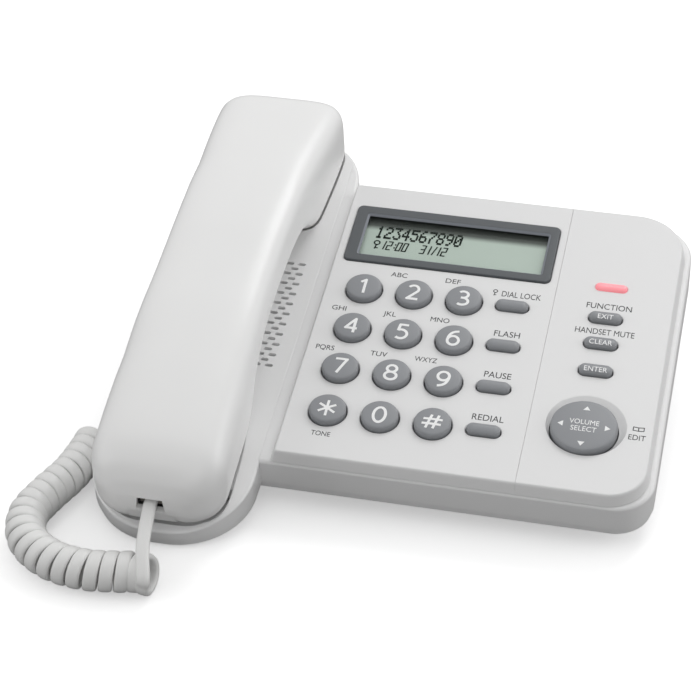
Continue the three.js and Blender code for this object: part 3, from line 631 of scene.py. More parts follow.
def sound_slots():
    cutters = []
    for u, start, count in SLOT_COLUMNS:
        for k in range(count):
            outline = stadium(u, start + k * SLOT_PITCH, SLOT_LENGTH, SLOT_WIDTH, 0, 4)
            cutters.append(lofted("slot", [at(outline, -16), at(outline, 0)]))
    return merged("slots", cutters)


def build_cradle():
    body = cradle_body()
    boolean(body, handset_solid("room", 0.8))
    boolean(body, front_room(2.0))
    well, pocket = chin_outline(CHIN_RIM), chin_outline(0)
    boolean(body, lofted("chin_well", [at(well, CEILING - 2.2), at(well, CEILING + 1)]), "UNION")
    boolean(body, lofted("chin_pocket", [at(pocket, CEILING - 1.8), at(pocket, 0)]))
    speaker = centre("base_speaker")
    boolean(body, block("speaker_room", (speaker[0] - 17.5, speaker[0] + 18.5),
                        (speaker[1] - 29, speaker[1] + 29), (-20, -7.2)))
    boolean(body, sound_slots())
    hook, jack = around("hookswitch_plunger", 0.4), around("base_handset_jack", 0.3)
    openings = [block("hook_hole", hook[0], hook[1], (-20, 0), 0.6),
                block("cord_hole", (CRADLE_LEFT - 2, jack[0][1]), jack[1], jack[2])]
    boolean(body, merged("openings", openings))
    finish_piece(body, HOUSING, "base", ["upper_housing"])
    cloth = block("speaker_cloth", (speaker[0] - 16, speaker[0] + 17),
                  (speaker[1] - 28, speaker[1] + 28), (-7.75, -7.35), 2.0)
    finish_piece(cloth, DARK, "base")


# ---------------- deck and lower housing
DECK_LEFT = CRADLE_RIGHT - 0.25   # the deck runs a little way into the cradle's rounded rim
EDGE_R = 1.4                  # rounding of the deck's outer edge


def deck_outline(inset, left_inset=0.0):
    return round_rect(DECK_LEFT + left_inset, BASE_RIGHT - inset, BASE_FRONT + inset, BASE_BACK - inset,
                      [FRONT_R + 1 - inset, BACK_R + 1 - inset, TINY, TINY], ARC)


def tail_lip():
    """The low strip that carries the deck's ledge round the cradle's tail."""
    start, back = BASE_BACK - 5, CRADLE_BACK - CRADLE_R
    rings = []
    for inset, height in [(0, seam_height)] + [(i, LEDGE - d + 0.02) for i, d in fillet(EDGE_R)]:
        r = CRADLE_R - inset
        u = TAIL_RIGHT - CRADLE_R
        end = math.degrees(math.acos((DECK_LEFT - u) / r))
        outline = [(DECK_LEFT, start), (TAIL_RIGHT - inset, start)] + arc(u, back, r, 0, end, 12)
        rings.append(at(outline, height))
    return lofted("tail_lip", rings)


def build_deck():
    opening = round_rect(-83.4, 41.8, 2.6, 138.4, [9, 14, 1, 1], ARC)
    rings = [at(deck_outline(0), seam_height)]
    rings += [at(deck_outline(inset), LEDGE - drop) for inset, drop in fillet(EDGE_R)]
    rings += [at(opening, LEDGE), at(opening, LEDGE - WALL)]
    rings += [at(deck_outline(WALL, WALL), LEDGE - WALL), at(deck_outline(WALL, WALL), seam_height)]
    deck = lofted("deck", rings, loop=True)
    boolean(deck, tail_lip(), "UNION")
    u, _, h = around("line_jack", 0.3)
    boolean(deck, block("line_hole", u, (BASE_BACK - 5, BASE_BACK + 2), h, 0.4))
    finish_piece(deck, HOUSING, "base", ["upper_housing"])


def foot_outline(inset):
    """Outline of the whole base: nose, deck and tail in one line."""
    i = inset
    tail_v = CRADLE_BACK - CRADLE_R
    r = CRADLE_R - i
    return (arc(CRADLE_RIGHT - CRADLE_R, CRADLE_FRONT + CRADLE_R, r, -90, 0)
            + [(CRADLE_RIGHT - i, BASE_FRONT + i)]
            + arc(BASE_RIGHT - FRONT_R - 1, BASE_FRONT + FRONT_R + 1, FRONT_R + 1 - i, -90, 0)
            + arc(BASE_RIGHT - BACK_R - 1, BASE_BACK - BACK_R - 1, BACK_R + 1 - i, 0, 90)
            + [(TAIL_RIGHT - i, BASE_BACK - i)]
            + arc(TAIL_RIGHT - CRADLE_R, tail_v, r, 0, 90)
            + arc(CRADLE_LEFT + CRADLE_R, tail_v, r, 90, 180)
            + arc(CRADLE_LEFT + CRADLE_R, CRADLE_FRONT + CRADLE_R, r, 180, 270))


def build_lower_housing():
    rings = [at(foot_outline(1.0), underside)]
    rings += [at(foot_outline(0.7), lambda v: underside(v) + 0.3)]
    rings += [at(foot_outline(0.7), lambda v: underside(v) + 2.8)]
    tray = lofted("bottom_cover", rings)
    u, v, _ = around("battery_door", 0.35)
    boolean(tray, block("bay", u, v, (-40, 0), 0.6))
    finish_piece(tray, HOUSING, "base", ["lower_housing"])


# ---------------- face plates
PLATE_LEFT, PLATE_RIGHT, PLATE_BACK = -85.2, 43.5, 141.0
SPLIT = 0.015                 # half the gap between the two plates
PLATE_FLOOR = LEDGE + 0.3
# height, growth of the outer sides, growth of the side at the split
PLATE_LEVELS = ((PLATE_FLOOR, 1.7, 0.0), (-1.1, 0.7, 0.0), (-0.6, 0.52, 0.0), (-0.26, 0.3, 0.0),
                (-0.08, 0.06, 0.06), (0, -0.22, 0.2))


def plate_ring(side, height, grow, split_grow):
    """Outline of one plate; side is -1 for the keypad plate and 1 for the function plate."""
    near = SPLIT + abs(split_grow)
    if side < 0:
        span, radii = (PLATE_LEFT - grow, -near), [TINY, TINY, 1.2 + grow, 0.6 + 0.3 * grow]
    else:
        span, radii = (near, PLATE_RIGHT + grow), [13 + grow, 18 + grow, TINY, TINY]
    return at(round_rect(*span, -grow, PLATE_BACK + 0.4 * grow, radii, 12), height)


def plate_body(name, side):
    rings = [plate_ring(side, -WALL, 0.5 - WALL, -WALL), plate_ring(side, PLATE_FLOOR, 1.7 - WALL, -WALL)]
    rings += [plate_ring(side, *level) for level in PLATE_LEVELS]
    return lofted(name, rings)


HOLE_EDGE = 0.3               # chamfer round an opening in a plate


def opening(outline_at, clearance):
    """Cutter through a plate with a chamfered mouth; outline_at gives the outline grown."""
    levels = ((-5, 0), (-HOLE_EDGE, 0), (0.2, HOLE_EDGE + 0.2), (3, HOLE_EDGE + 0.2))
    return lofted("opening", [at(outline_at(clearance + g), h) for h, g in levels])


KEY_R, KEY_PLAY = 6.65, 0.45
KEY_TOP, KEY_CROWN, KEY_BOTTOM = 2.2, 0.3, -3.4
PILL_TOP = 1.7
PILL_LENGTH, PILL_WIDTH = 12.0, 4.7
NAV_R = 11.9
BEZEL_R = 2.2                 # corner radius of the display's frame
DIALS = {"key_" + {"*": "star", "#": "hash"}.get(sign, sign): sign for sign in "123456789*0#"}
LEFT_PILLS = ("dial_lock_key", "flash_key", "pause_key", "redial_key")
RIGHT_PILLS = ("exit_key", "clear_key", "enter_key")


def pill_openings(names):
    places = [centre(name) for name in names]
    return [opening(lambda g, p=p: stadium(p[0], p[1], PILL_LENGTH, PILL_WIDTH, g), KEY_PLAY)
            for p in places]


DISH_DEEP, DISH_WIDE = 1.3, 2.0
DISH_SHIFT = (0.6, 1.95)       # how far the dish's mouth is moved to the right and to the back


def navigator_dish(nav):
    """Cutter for the navigator's hole and its shallow dish, which is wider on the upper side."""
    shares = [k / 8 for k in range(9)]
    levels = [(NAV_R + 0.45, -5, 0.0)]
    levels += [(NAV_R + 0.45 + DISH_WIDE * s, -DISH_DEEP + (DISH_DEEP + 0.03) * s ** 1.5, s)
               for s in shares]
    levels += [(NAV_R + 1.2 + DISH_WIDE, 3, 1.0)]
    rings = [at(circle(nav[0] + DISH_SHIFT[0] * s, nav[1] + DISH_SHIFT[1] * s, r, 128), h)
             for r, h, s in levels]
    return lofted("dish", rings)


def build_plates():
    keypad = plate_body("keypad_plate", -1)
    places = [centre(name) for name in DIALS]
    cutters = [opening(lambda g, p=p: circle(p[0], p[1], KEY_R + g), KEY_PLAY) for p in places]
    low, high = extent("lcd_bezel")
    cutters.append(opening(lambda g: grown(low, high, g, BEZEL_R), 0.12))
    boolean(keypad, merged("holes", cutters + pill_openings(LEFT_PILLS)))
    finish_piece(keypad, PANEL, "base", ["keypad_panel"])

    function = plate_body("function_plate", 1)
    lamp, nav = centre("ringer_lamp"), centre("navigator_key")
    cutters = pill_openings(RIGHT_PILLS)
    cutters.append(opening(lambda g: stadium(lamp[0], lamp[1], 11.8, 3.5, g), 0.1))
    cutters.append(navigator_dish(nav))
    boolean(function, merged("holes", cutters))
    finish_piece(function, PANEL, "base", ["function_panel"])


# ---------------- lettering
def glyphs(text):
    """A flat mesh of text in font units, as a bmesh."""
    data = bpy.data.curves.new("text", "FONT")
    data.body = text
    data.resolution_u = 6
    data.align_x = "CENTER"
    holder = link("text", data)
    bpy.context.view_layer.update()
    graph = bpy.context.evaluated_depsgraph_get()
    mesh = bpy.data.meshes.new_from_object(holder.evaluated_get(graph))
    form = bmesh.new()
    form.from_mesh(mesh)
    bpy.data.objects.remove(holder)
    bpy.data.meshes.remove(mesh)
    return form


CAP_HEIGHT = max(v.co.y for v in glyphs("H").verts)


def lettering(name, words, surface, thickness=0.06, cut_mm=0.0):
    """Words printed on a surface. Each is (text, u, v, cap height, width share);
    surface gives the height at (u, v). cut_mm slices long faces so that they follow a dome."""
    whole = bmesh.new()
    for text, u, v, size, stretch in words:
        form = glyphs(text)
        scale = size / CAP_HEIGHT
        low = min(p.co.y for p in form.verts)
        high = max(p.co.y for p in form.verts)
        middle = (low + high) / 2 if len(text) == 1 else CAP_HEIGHT / 2
        for p in form.verts:
            p.co = Vector((u + p.co.x * scale * stretch, v + (p.co.y - middle) * scale, 0))
        if cut_mm:
            for normal in ((1, 0, 0), (0, 1, 0)):
                for k in range(-8, 9):
                    spot = (u + k * cut_mm, v + k * cut_mm, 0)
                    everything = form.verts[:] + form.edges[:] + form.faces[:]
                    bmesh.ops.bisect_plane(form, geom=everything, plane_co=spot, plane_no=normal)
        bmesh.ops.recalc_face_normals(form, faces=form.faces)
        spare = bpy.data.meshes.new("spare")
        form.to_mesh(spare)
        form.free()
        whole.from_mesh(spare)
        bpy.data.meshes.remove(spare)
    for face in whole.faces:
        if face.normal.z < 0:
            face.normal_flip()
    raised = bmesh.ops.extrude_face_region(whole, geom=whole.faces[:])
    upper = {p for p in raised["geom"] if isinstance(p, bmesh.types.BMVert)}
    for p in whole.verts:
        base = surface(p.co.x, p.co.y)
        p.co.z = base + (thickness if p in upper else -0.12)
        p.co = SLAB @ p.co
    bmesh.ops.recalc_face_normals(whole, faces=whole.faces)
    mesh = bpy.data.meshes.new(name)
    whole.to_mesh(mesh)
    whole.free()
    return link(name, mesh)


def printed(obj, material, body):
    """Finishes ink, hung on the body of what it is printed on."""
    finish_piece(obj, material, body, (), 30, False)


# ---------------- dial digits, drawn with strokes in a unit cell
DIGIT_WIDE, DIGIT_TALL, STROKE = 4.3, 6.9, 1.05
DIGIT_DROP = 0.5              # how far a digit sits below its key's middle
SIGN_SIZE = (6.4, 7.9, 0.95)   # width, height and stroke of the star and the hash


def line(*corners):
    """Straight strokes through corners, as one list of points per stroke."""
    return [[a, b] for a, b in zip(corners, corners[1:])]


def bend(start, through, end):
    """A stroke that leaves start towards through and arrives at end."""
    shares = [k / 14 for k in range(15)]
    return [tuple((1 - t) ** 2 * a + 2 * t * (1 - t) * b + t * t * c
                  for a, b, c in zip(start, through, end)) for t in shares]


STROKES = {
    "0": [oval(0.5, 0.5, 0.5, 0.5)],
    "1": line((0.2, 0.8), (0.6, 1), (0.6, 0)),
    "2": [oval(0.47, 0.71, 0.45, 0.29, 150, -28) + [(0.45, 0.26), (0.05, 0)], [(0.05, 0), (1, 0)]],
    "3": [oval(0.42, 0.755, 0.43, 0.245, 140, -90), oval(0.42, 0.255, 0.52, 0.255, 90, -135),
          [(0.25, 0.51), (0.42, 0.51)]],
    "4": line((0.74, 0), (0.74, 1), (0, 0.3), (1, 0.3)),
    "5": line((0.92, 1), (0.2, 1), (0.12, 0.55)) + [oval(0.4, 0.315, 0.53, 0.315, 122, -135)],
    "6": [oval(0.5, 0.31, 0.48, 0.31), bend((0.88, 1), (0.04, 0.95), (0.02, 0.31))],
    "7": line((0.02, 1), (1, 1), (0.36, 0)),
    "8": [oval(0.5, 0.76, 0.41, 0.24), oval(0.5, 0.26, 0.5, 0.26)],
    "9": [oval(0.5, 0.69, 0.48, 0.31), bend((0.12, 0), (0.96, 0.05), (0.98, 0.69))],
    "#": line((0.2, 0.1), (0.42, 0.9)) + line((0.6, 0.1), (0.82, 0.9)) + line((-0.02, 0.64), (1.06, 0.64))
    + line((-0.06, 0.36), (1.02, 0.36)),
    "*": [oval(0.5, 0.5, 0.54, 0.46, a, a + 180)[::28] for a in (30, 90, 150)]}


def stroke(points, width, surface, lift):
    """A raised strip along points, as a closed ring of four points at each of them."""
    path = []
    for a, b in zip(points, points[1:]):
        parts = max(1, round(math.dist(a, b) / 0.6))
        path += [(a[0] + (b[0] - a[0]) * k / parts, a[1] + (b[1] - a[1]) * k / parts) for k in range(parts)]
    path = np.array(path + [points[-1]])
    ways = np.gradient(path, axis=0)
    if math.dist(points[0], points[-1]) < 1e-6:
        ways[0] = ways[-1] = ways[0] + ways[-1]
    ways /= np.linalg.norm(ways, axis=1)[:, None]
    rings = []
    for (x, y), (along, up) in zip(path, ways):
        left = (x - up * width / 2, y + along * width / 2)
        right = (x + up * width / 2, y - along * width / 2)
        rings.append([(*left, surface(*left) - 0.1), (*right, surface(*right) - 0.1),
                      (*right, surface(*right) + lift), (*left, surface(*left) + lift)])
    return rings


def dial_digit(name, label, u, v, surface):
    """A dial digit printed on a key, with round joints where straight strokes meet."""
    wide, tall, width = SIGN_SIZE if label in "#*" else (DIGIT_WIDE, DIGIT_TALL, STROKE)
    bodies = []
    strokes = [[(u + (x - 0.5) * wide, v + (y - 0.5) * tall) for x, y in part] for part in STROKES[label]]
    for k, part in enumerate(strokes):
        bodies.append(lofted("stroke", stroke(part, width, surface, 0.06 + 0.003 * k)))
    for a, b in zip(strokes, strokes[1:]):
        if math.dist(a[-1], b[0]) < 0.1:
            x, y = b[0]
            profile = [(width / 2, surface(x, y) - 0.1), (width / 2, surface(x, y) + 0.05)]
            bodies.append(turned("joint", profile, x, y, 16))
    return merged(name, bodies)


# ---------------- keys
def build_round_key(node_name, label):
    u, v, _ = centre(node_name)
    rim = KEY_R - 0.75

    def crown(r):
        return KEY_TOP + KEY_CROWN * (1 - (r / rim) ** 2)

    profile = [(TINY, KEY_BOTTOM), (KEY_R + 0.9, KEY_BOTTOM), (KEY_R + 0.9, KEY_BOTTOM + 0.6),
               (KEY_R, KEY_BOTTOM + 0.6), (KEY_R, KEY_TOP - 0.62), (KEY_R - 0.08, KEY_TOP - 0.42),
               (KEY_R - 0.24, KEY_TOP - 0.24), (KEY_R - 0.5, KEY_TOP - 0.07)]
    profile += [(r, crown(r)) for r in np.linspace(rim, TINY, 10)]
    key = turned("cap_" + node_name[4:], profile, u, v)
    finish_piece(key, KEY_GREY, node_name, [node_name], sharp=40)
    digit = dial_digit("digit_" + node_name[4:], label, u, v - DIGIT_DROP,
                       lambda x, y: crown(math.hypot(x - u, y - v)))
    printed(digit, DIGIT_WHITE, node_name)


def build_pill(node_name, label):
    u, v, _ = centre(node_name)
    levels = [(0.9, KEY_BOTTOM), (0.9, KEY_BOTTOM + 0.6), (0, KEY_BOTTOM + 0.6), (0, PILL_TOP - 0.75),
              (-0.07, PILL_TOP - 0.5), (-0.25, PILL_TOP - 0.25), (-0.6, PILL_TOP - 0.03),
              (-1.1, PILL_TOP + 0.14), (-1.7, PILL_TOP + 0.24), (-2.3, PILL_TOP + 0.28)]
    rings = [at(stadium(u, v, PILL_LENGTH, PILL_WIDTH, g, 10), h) for g, h in levels]
    key = lofted("pill_" + node_name, rings)
    finish_piece(key, KEY_GREY, node_name, [node_name], sharp=40)
    if label:
        words = lettering("word_" + node_name, [(label, u, v - 0.75, 2.3, 0.85)],
                          lambda x, y: PILL_TOP + 0.27, 0.05)
        printed(words, DIGIT_WHITE, node_name)


def nav_height(r):
    return 2.1 + 0.5 * (1 - (r / (NAV_R - 0.7)) ** 2)


def build_navigator():
    u, v, _ = centre("navigator_key")
    profile = [(TINY, -2), (NAV_R - 0.3, -2), (NAV_R, -1.6), (NAV_R, 1.3), (NAV_R - 0.1, 1.6),
               (NAV_R - 0.3, 1.85), (NAV_R - 0.5, 2.0)]
    profile += [(r, nav_height(r)) for r in np.linspace(NAV_R - 0.7, TINY, 12)]
    key = turned("navigator_disc", profile, u, v, 96)
    finish_piece(key, KEY_GREY, "navigator_key", ["navigator_key"], sharp=40)

    def surface(x, y):
        return nav_height(math.hypot(x - u, y - v))

    v_print = v - 0.6
    words = [("VOLUME", u, v_print + 1.6, 2.2, 0.84), ("SELECT", u, v_print - 1.6, 2.2, 0.88)]
    printed(lettering("navigator_words", words, surface, 0.06, 1.0), DIGIT_WHITE, "navigator_key")
    arrows = ([], [])
    tip, foot, half = 9.3, 7.4, 1.25
    for along in ((1, 0), (0, 1), (-1, 0), (0, -1)):
        corners = [(u + along[0] * out - along[1] * aside, v_print + along[1] * out + along[0] * aside)
                   for out, aside in ((tip, 0), (foot, half), (foot, -half))]
        prism(arrows, corners, surface, -0.15, 0.07)
    printed(raw_mesh("navigator_arrows", *arrows), DIGIT_WHITE, "navigator_key")


def build_keys():
    for name, label in DIALS.items():
        build_round_key(name, label)
    for name in LEFT_PILLS:
        build_pill(name, "")
    for name, label in zip(RIGHT_PILLS, ("EXIT", "CLEAR", "ENTER")):
        build_pill(name, label)
    build_navigator()


# ---------------- printed labels
# letters over a key, how far they sit to the left of its centre, and their width share
LETTER_GROUPS = {"key_2": ("ABC", 7.4, 0.97), "key_3": ("DEF", 5.9, 1.05), "key_4": ("GHI", 7.1, 1.0),
                 "key_5": ("JKL", 6.8, 0.97), "key_6": ("MNO", 7.0, 0.92), "key_7": ("PQRS", 7.9, 0.88),
                 "key_8": ("TUV", 6.8, 0.97), "key_9": ("WXYZ", 8.3, 0.82)}


def key_sign(shape, u, v, size, width, height):
    """Adds a small key to shape: a ring, a shaft and one tooth."""
    ring = circle(u, v, size, 10)
    shaft = ((u, v - size), (u - size * 0.4, v - size * 3))
    tooth = ((u - size * 0.3, v - size * 2.6), (u + size * 0.6, v - size * 2.6))
    for a, b in [*zip(ring, ring[1:] + ring[:1]), shaft, tooth]:
        bar(shape, a, b, width, height)


def build_signs(key_u, key_v, book_u, book_v):
    """A key before the lock label and an open book over the edit label."""
    shape = ([], [])
    key_sign(shape, key_u, key_v + 0.9, 0.75, 0.35, -0.02)
    for side in (-1, 1):
        page = [(book_u + side * x, book_v + y)
                for x, y in ((0, -0.9), (1.9, -0.7), (1.9, 0.9), (0, 0.7), (0, -0.9))]
        for a, b in zip(page, page[1:]):
            bar(shape, a, b, 0.32, -0.02)
    printed(raw_mesh("plate_signs", *shape), LABEL_INK, "base")


def label(text, key, right, up, size, stretch):
    """A word of lettering, placed from the middle of a key."""
    u, v, _ = centre(key)
    return text, u + right, v + up, size, stretch


def build_labels():
    left = [label(text, key, -shift, 10.0, 2.3, stretch)
            for key, (text, shift, stretch) in LETTER_GROUPS.items()]
    left += [label("TONE", "key_star", -0.2, -10.7, 2.1, 0.84),
             label("DIAL LOCK", LEFT_PILLS[0], 2.4, 6.3, 2.8, 0.71)]
    left += [label(text, key, 0.5, 6.3, 2.8, 0.87)
             for key, text in zip(LEFT_PILLS[1:], ("FLASH", "PAUSE", "REDIAL"))]
    right = [label("FUNCTION", RIGHT_PILLS[0], 0.6, 6.3, 2.8, 0.82),
             label("HANDSET MUTE", RIGHT_PILLS[1], 0.6, 6.3, 2.8, 0.73),
             label("EDIT", "navigator_key", 18.7, -0.9, 2.4, 0.85)]
    for name, group in (("keypad_labels", left), ("function_labels", right)):
        printed(lettering(name, group, lambda x, y: 0.0, 0.03), LABEL_INK, "base")
    lock, nav = centre(LEFT_PILLS[0]), centre("navigator_key")
    build_signs(lock[0] - 7.4, lock[1] + 6.3, nav[0] + 18.9, nav[1] + 3.1)


# ---------------- display
def build_display():
    low, high = extent("lcd_bezel")
    glass_low, glass_high = extent("lcd_window")
    frame_width = 1.7
    front_left, back_right = glass_low + frame_width, glass_high - frame_width

    def outer(grow, height):
        return at(grown(low, high, grow, BEZEL_R), height)

    def mouth(grow, height):
        return at(grown(front_left, back_right, grow, 0.5), height)

    top, rebate, over_window = high[2], frame_width + 0.3, glass_high[2] + 0.2
    rings = [outer(0, -1.9), outer(0, top - 0.45), outer(-0.13, top - 0.13), outer(-0.45, top),
             mouth(0.8, top), mouth(0.6, top - 0.1), mouth(0.08, top - 0.6), mouth(0, over_window),
             mouth(rebate, over_window), mouth(rebate, -1.9)]
    bezel = lofted("display_frame", rings, loop=True)
    finish_piece(bezel, BEZEL_GREY, "base", ["lcd_bezel"])
    # painted highlight: a lighter grey lining of the frame's mouth, in place of the lit inner edge
    highlight_lining = [mouth(0.68, top - 0.02), mouth(0.06, top - 0.52), mouth(-0.1, top - 0.62),
            mouth(-0.1, top - 0.8), mouth(0.3, top - 0.8), mouth(0.8, top - 0.3)]
    finish_piece(lofted("display_frame_highlight", highlight_lining, loop=True), FRAME_HIGHLIGHT_GREY, "base")
    build_lcd_digits(front_left[0], back_right[1])
    # painted shadow: the display module's green fades darker towards the frame's back edge, standing in for
    # the shadow the frame casts on it
    shade = [(SLAB @ Vector((0, back_right[1] - drop, -1.6))).dot(SLOPE) for drop in (6.4, 2.8)]
    paint_shade_along(LCD_GREEN, SLOPE, *shade, 0.1)


DOT_DIGITS = {
    "1": "00100 01100 00100 00100 00100 00100 01110", "2": "01110 10001 00001 00110 01000 10000 11111",
    "3": "11111 00010 00100 00010 00001 10001 01110", "4": "00010 00110 01010 10010 11111 00010 00010",
    "5": "11111 10000 11110 00001 00001 10001 01110", "6": "00110 01000 10000 11110 10001 10001 01110",
    "7": "11111 00001 00010 00100 01000 01000 01000", "8": "01110 10001 10001 01110 10001 10001 01110",
    "9": "01110 10001 10001 01111 00001 00010 01100", "0": "01110 10001 10011 10101 11001 10001 01110"}
# The seven bars of a digit as (x, y) ends in a 1 x 2 cell, and the bars each digit lights.
BARS = {"a": ((0, 2), (1, 2)), "b": ((1, 2), (1, 1)), "c": ((1, 1), (1, 0)), "d": ((0, 0), (1, 0)),
        "e": ((0, 1), (0, 0)), "f": ((0, 2), (0, 1)), "g": ((0, 1), (1, 1))}
LIT = {"0": "abcdef", "1": "bc", "2": "abged", "3": "abgcd"}
SLANT = 0.16


def build_lcd_digits(left, back):
    """Ten dotted digits over a clock, a date and a small key sign."""
    shape = ([], [])
    height = extent("lcd_module")[1][2] + 0.02
    base = back - 9.6
    for k, digit in enumerate("1234567890"):
        for row, bits in enumerate(DOT_DIGITS[digit].split()):
            for column, lit in enumerate(bits):
                if lit == "1":
                    y = (6 - row) * 0.95
                    u = left + 4.1 + k * 3.39 + column * 0.56 + y * SLANT * 0.5
                    bar(shape, (u, base + y - 0.3), (u, base + y + 0.3), 0.76, height)
    foot, tall, wide = back - 15.9, 2.2, 1.5
    places = [("1", 6.7), ("2", 9.3), ("0", 13.0), ("0", 15.4), ("3", 22.4), ("1", 24.3), ("1", 28.0),
              ("2", 30.6)]
    for digit, offset in places:
        for name in LIT[digit]:
            ends = [(left + offset + x * wide + y * tall * SLANT, foot + y * tall) for x, y in BARS[name]]
            bar(shape, *ends, 0.54, height)
    for y in (0.6, 1.4):
        u = left + 12.2 + y * tall * SLANT
        bar(shape, (u, foot + y * tall - 0.2), (u, foot + y * tall + 0.2), 0.55, height)
    slash = left + 27.2
    bar(shape, (slash, foot), (slash + 1.5, foot + 2 * tall), 0.5, height)
    key_sign(shape, left + 5.4, foot + 3.2, 1.1, 0.55, height)
    printed(raw_mesh("display_digits", *shape), LCD_INK, "base")


def build_lamp():
    u, v, _ = centre("ringer_lamp")
    low, high = extent("ringer_lamp")
    length, width = high[0] - low[0], high[1] - low[1]
    levels = [(0, -3.4), (0, 0.25), (-0.12, 0.55), (-0.4, 0.8), (-0.9, 0.96), (-1.4, 1.0)]
    rings = [at(stadium(u, v, length, width, g, 10), h) for g, h in levels]
    finish_piece(lofted("lamp_lens", rings), LAMP_PINK, "base", ["ringer_lamp"], sharp=40)


# ---------------- coiled cord
COIL_R, RIBBON_WIDE, RIBBON_THICK, COIL_PITCH = 6.0, 4.75, 2.3, 5.0
COIL_LEVEL = -25.2 + COIL_R + RIBBON_THICK / 2 + 0.25
COIL_PATH = ((-157.2, 17), (-157.6, 7), (-159.6, -7), (-163.8, -20), (-166.4, -33), (-162, -45.5),
             (-151.5, -53.6), (-139, -56.4), (-127.5, -55.2), (-120.5, -53.8), (-115.4, -54.6))
STEPS_PER_TURN = 44


def spline(knots, steps):
    """Even points along a smooth line through the knots, and its length."""
    knots = [np.array(k, float) for k in knots]
    padded = [2 * knots[0] - knots[1]] + knots + [2 * knots[-1] - knots[-2]]
    dense = []
    for a, b, c, d in zip(padded, padded[1:], padded[2:], padded[3:]):
        for t in np.linspace(0, 1, 40, endpoint=False):
            dense.append(0.5 * (2 * b + (c - a) * t + (2 * a - 5 * b + 4 * c - d) * t ** 2
                                + (3 * b - a - 3 * c + d) * t ** 3))
    return evenly(np.array(dense + [knots[-1]]), steps)


def level_point(u, v, h):
    return np.array((SLAB @ Vector((u, v, h)) - ORIGIN) / MM)


def cord_line():
    """Centre line of the ribbon, and the direction of its flat width, in level millimetres."""
    knots = [(*p, COIL_LEVEL) for p in COIL_PATH]
    _, length = spline(knots, 10)
    steps = round(length / COIL_PITCH) * STEPS_PER_TURN
    spine, _ = spline(knots, steps)
    tangents = directions(spine)
    sides = np.stack([tangents[:, 1], -tangents[:, 0], 0 * tangents[:, 0]], 1)
    half_turn = STEPS_PER_TURN // 2
    angles = 2 * math.pi * np.arange(steps + 1) / STEPS_PER_TURN
    coil = spine + COIL_R * (np.cos(angles)[:, None] * sides + np.sin(angles)[:, None] * np.array([0, 0, 1]))
    coil, tangents = coil[half_turn:], tangents[half_turn:]
    plug = level_point(CRADLE_LEFT - 0.5, centre("base_cord_plug")[1], centre("base_cord_plug")[2])
    jack = level_point(GRIP_U, HANDSET_FRONT + 3, JACK[2])
    start = coil[0]
    begin, _ = spline([plug, plug + (-1.6, -0.6, -1.5), plug + (-1.9, -3, -4),
                       start + (1.0, 1.5, 2.5), start], 40)
    end = coil[-1]
    rise = jack - end
    finish, _ = spline([end, end + (0.6, -0.2, 4.0), end + rise * (0.55, 0.42, 0.62) + (0, -2.2, 0),
                        jack + (0, -4.0, -1.4), jack], 44)
    points = np.concatenate([begin[:-1], coil, finish[1:]])
    flats = np.concatenate([np.repeat(tangents[:1], len(begin) - 1, 0), tangents,
                            np.repeat(tangents[-1:], len(finish) - 1, 0)])
    return points, flats


def build_cord():
    points, flats = cord_line()
    angles = [2 * math.pi * (k + 0.5) / 16 for k in range(16)]
    section = [(bulge(math.cos(a), 0.62) * RIBBON_WIDE / 2, bulge(math.sin(a), 0.75) * RIBBON_THICK / 2)
               for a in angles]
    rings = []
    for point, way, flat in zip(points, directions(points), flats):
        across = flat - way * np.dot(flat, way)
        across /= np.linalg.norm(across)
        out = np.cross(way, across)
        rings.append([tuple(point + across * x + out * y) for x, y in section])
    cord = lofted("coiled_ribbon_cord", rings, place=LEVEL)
    finish_piece(cord, CORD_WHITE, None, ["coiled_cord"], sharp=60, weighted=False)
    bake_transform(cord)


# ---------------- carried-over CAD nodes
CARRIED = {
    DARK: "navigator_hub base_speaker hook_switch base_handset_jack line_jack microphone receiver_capsule"
          " handset_jack",
    HOUSING: "hookswitch_plunger handset_hook battery_door desk_stand", WINDOW: "lcd_window",
    LCD_GREEN: "lcd_module", SILICONE: "keypad_membrane function_membrane", BOARD: "main_circuit_board",
    CELL_SKIN: "battery_1 battery_2 battery_3",
    RUBBER: "foot_front_left foot_front_right foot_rear_left foot_rear_right",
    STEEL: "housing_screw_1 housing_screw_2 housing_screw_3 handset_weight",
    PLUG_CLEAR: "handset_cord_plug base_cord_plug"}
BEVELS = {"desk_stand": 0.8, "handset_hook": 0.5, "hookswitch_plunger": 0.6, "battery_door": 0.3}


def carry_over():
    for name, material in [(name, material) for material, names in CARRIED.items() for name in names.split()]:
        obj = frame["nodes"][name]
        obj.data.materials.clear()
        obj.data.materials.append(material)
        bevel = obj.modifiers.new("soft_edges", "BEVEL")
        bevel.width = BEVELS.get(name, 0.2) * MM
        bevel.segments = 2
        bevel.limit_method = "ANGLE"
        bevel.angle_limit = math.radians(40)
        bevel.harden_normals = True
        obj.data.shade_smooth()
        obj.data.set_sharp_from_angle(angle=math.radians(40))


# ---------------- stage, lights and camera
FLOOR_TONE, FLOOR_BOUNCE = 0.9, 0.28     # the floor's white, to the camera and to the object
FLOOR_GLOW = 0.4                         # extra brightness of the floor, seen by the camera alone
CAMERA_PLACE = Vector((73.4, -594.6, 469.1))      # level millimetres from the slab origin
CAMERA_TILT, CAMERA_TURN, CAMERA_LENS = 55.25, 12.48, 113.14


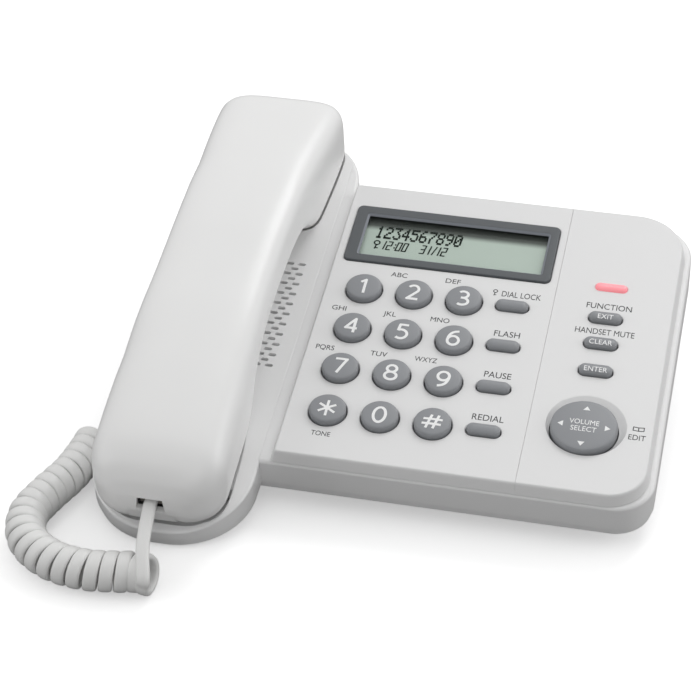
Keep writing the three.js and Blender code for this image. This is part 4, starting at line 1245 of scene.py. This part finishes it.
def build_floor():
    """A pale floor that looks brighter to the camera than it is to the object."""
    half = 4.0
    mesh = bpy.data.meshes.new("floor")
    corners = [(-half, -half, 0), (half, -half, 0), (half, half, 0), (-half, half, 0)]
    mesh.from_pydata(corners, [], [(0, 1, 2, 3)])
    floor = link("floor", mesh)
    material, tree, shader = new_material("pale_floor")
    shader.inputs["Roughness"].default_value = 0.9
    shader.inputs["Specular IOR Level"].default_value = 0.1
    shader.inputs["Emission Color"].default_value = (1, 1, 1, 1)
    seen = tree.nodes.new("ShaderNodeLightPath").outputs["Is Camera Ray"]
    tone = colour_mix(tree, seen, (FLOOR_BOUNCE,) * 3, (FLOOR_TONE,) * 3)
    tree.links.new(tone, shader.inputs["Base Color"])
    glow = node(tree, "ShaderNodeMapRange", {"Value": seen}, To_Min=0.0, To_Max=FLOOR_GLOW)
    tree.links.new(glow.outputs["Result"], shader.inputs["Emission Strength"])
    mesh.materials.append(material)


def area_light(name, place, size, power, aim=(0, 0, 0.02)):
    data = bpy.data.lights.new(name, "AREA")
    data.shape = "SQUARE"
    data.size = size
    data.energy = power
    lamp = link(name, data)
    lamp.location = place
    lamp.rotation_euler = (Vector(aim) - Vector(place)).to_track_quat("-Z", "Y").to_euler()


def studio_world(strength, towards, falloff):
    """White surroundings, brightest in one direction and dark in the opposite one."""
    world = bpy.data.worlds.new("studio")
    world.use_nodes = True
    tree = world.node_tree
    place = node(tree, "ShaderNodeTexCoord").outputs["Generated"]
    facing = distance_along(tree, place, Vector(towards).normalized())
    share = node(tree, "ShaderNodeMapRange", {"Value": facing}, From_Min=-1.0, From_Max=1.0)
    power = maths(tree, "POWER", share.outputs["Result"], falloff)
    scale = maths(tree, "MULTIPLY", power.outputs["Value"], strength)
    background = tree.nodes["Background"]
    background.inputs["Color"].default_value = (1, 1, 1, 1)
    tree.links.new(scale.outputs["Value"], background.inputs["Strength"])
    bpy.context.scene.world = world


def build_lights():
    studio_world(0.86, (0, 0.7, 0.71), 1.5)
    area_light("key_softbox", (0.35, 1.1, 1.35), 0.7, 6.5)
    area_light("right_softbox", (1.6, 0.2, 0.7), 1.2, 6.8)
    area_light("left_softbox", (-1.4, -0.7, 0.7), 1.2, 6)
    area_light("front_fill", (0.3, -1.6, 0.7), 1.2, 5.0)


def build_camera():
    data = bpy.data.cameras.new("camera")
    data.lens = CAMERA_LENS
    data.sensor_width = 36
    camera = link("camera", data)
    camera.location = ORIGIN + CAMERA_PLACE * MM
    camera.rotation_euler = (math.radians(CAMERA_TILT), 0, math.radians(CAMERA_TURN))
    bpy.context.scene.camera = camera
    bpy.context.scene.view_settings.view_transform = "Standard"


# ---------------- assembly
build_handset()
build_cradle()
build_deck()
build_lower_housing()
build_plates()
build_keys()
build_labels()
build_display()
build_lamp()
build_cord()
carry_over()
build_floor()
build_lights()
build_camera()
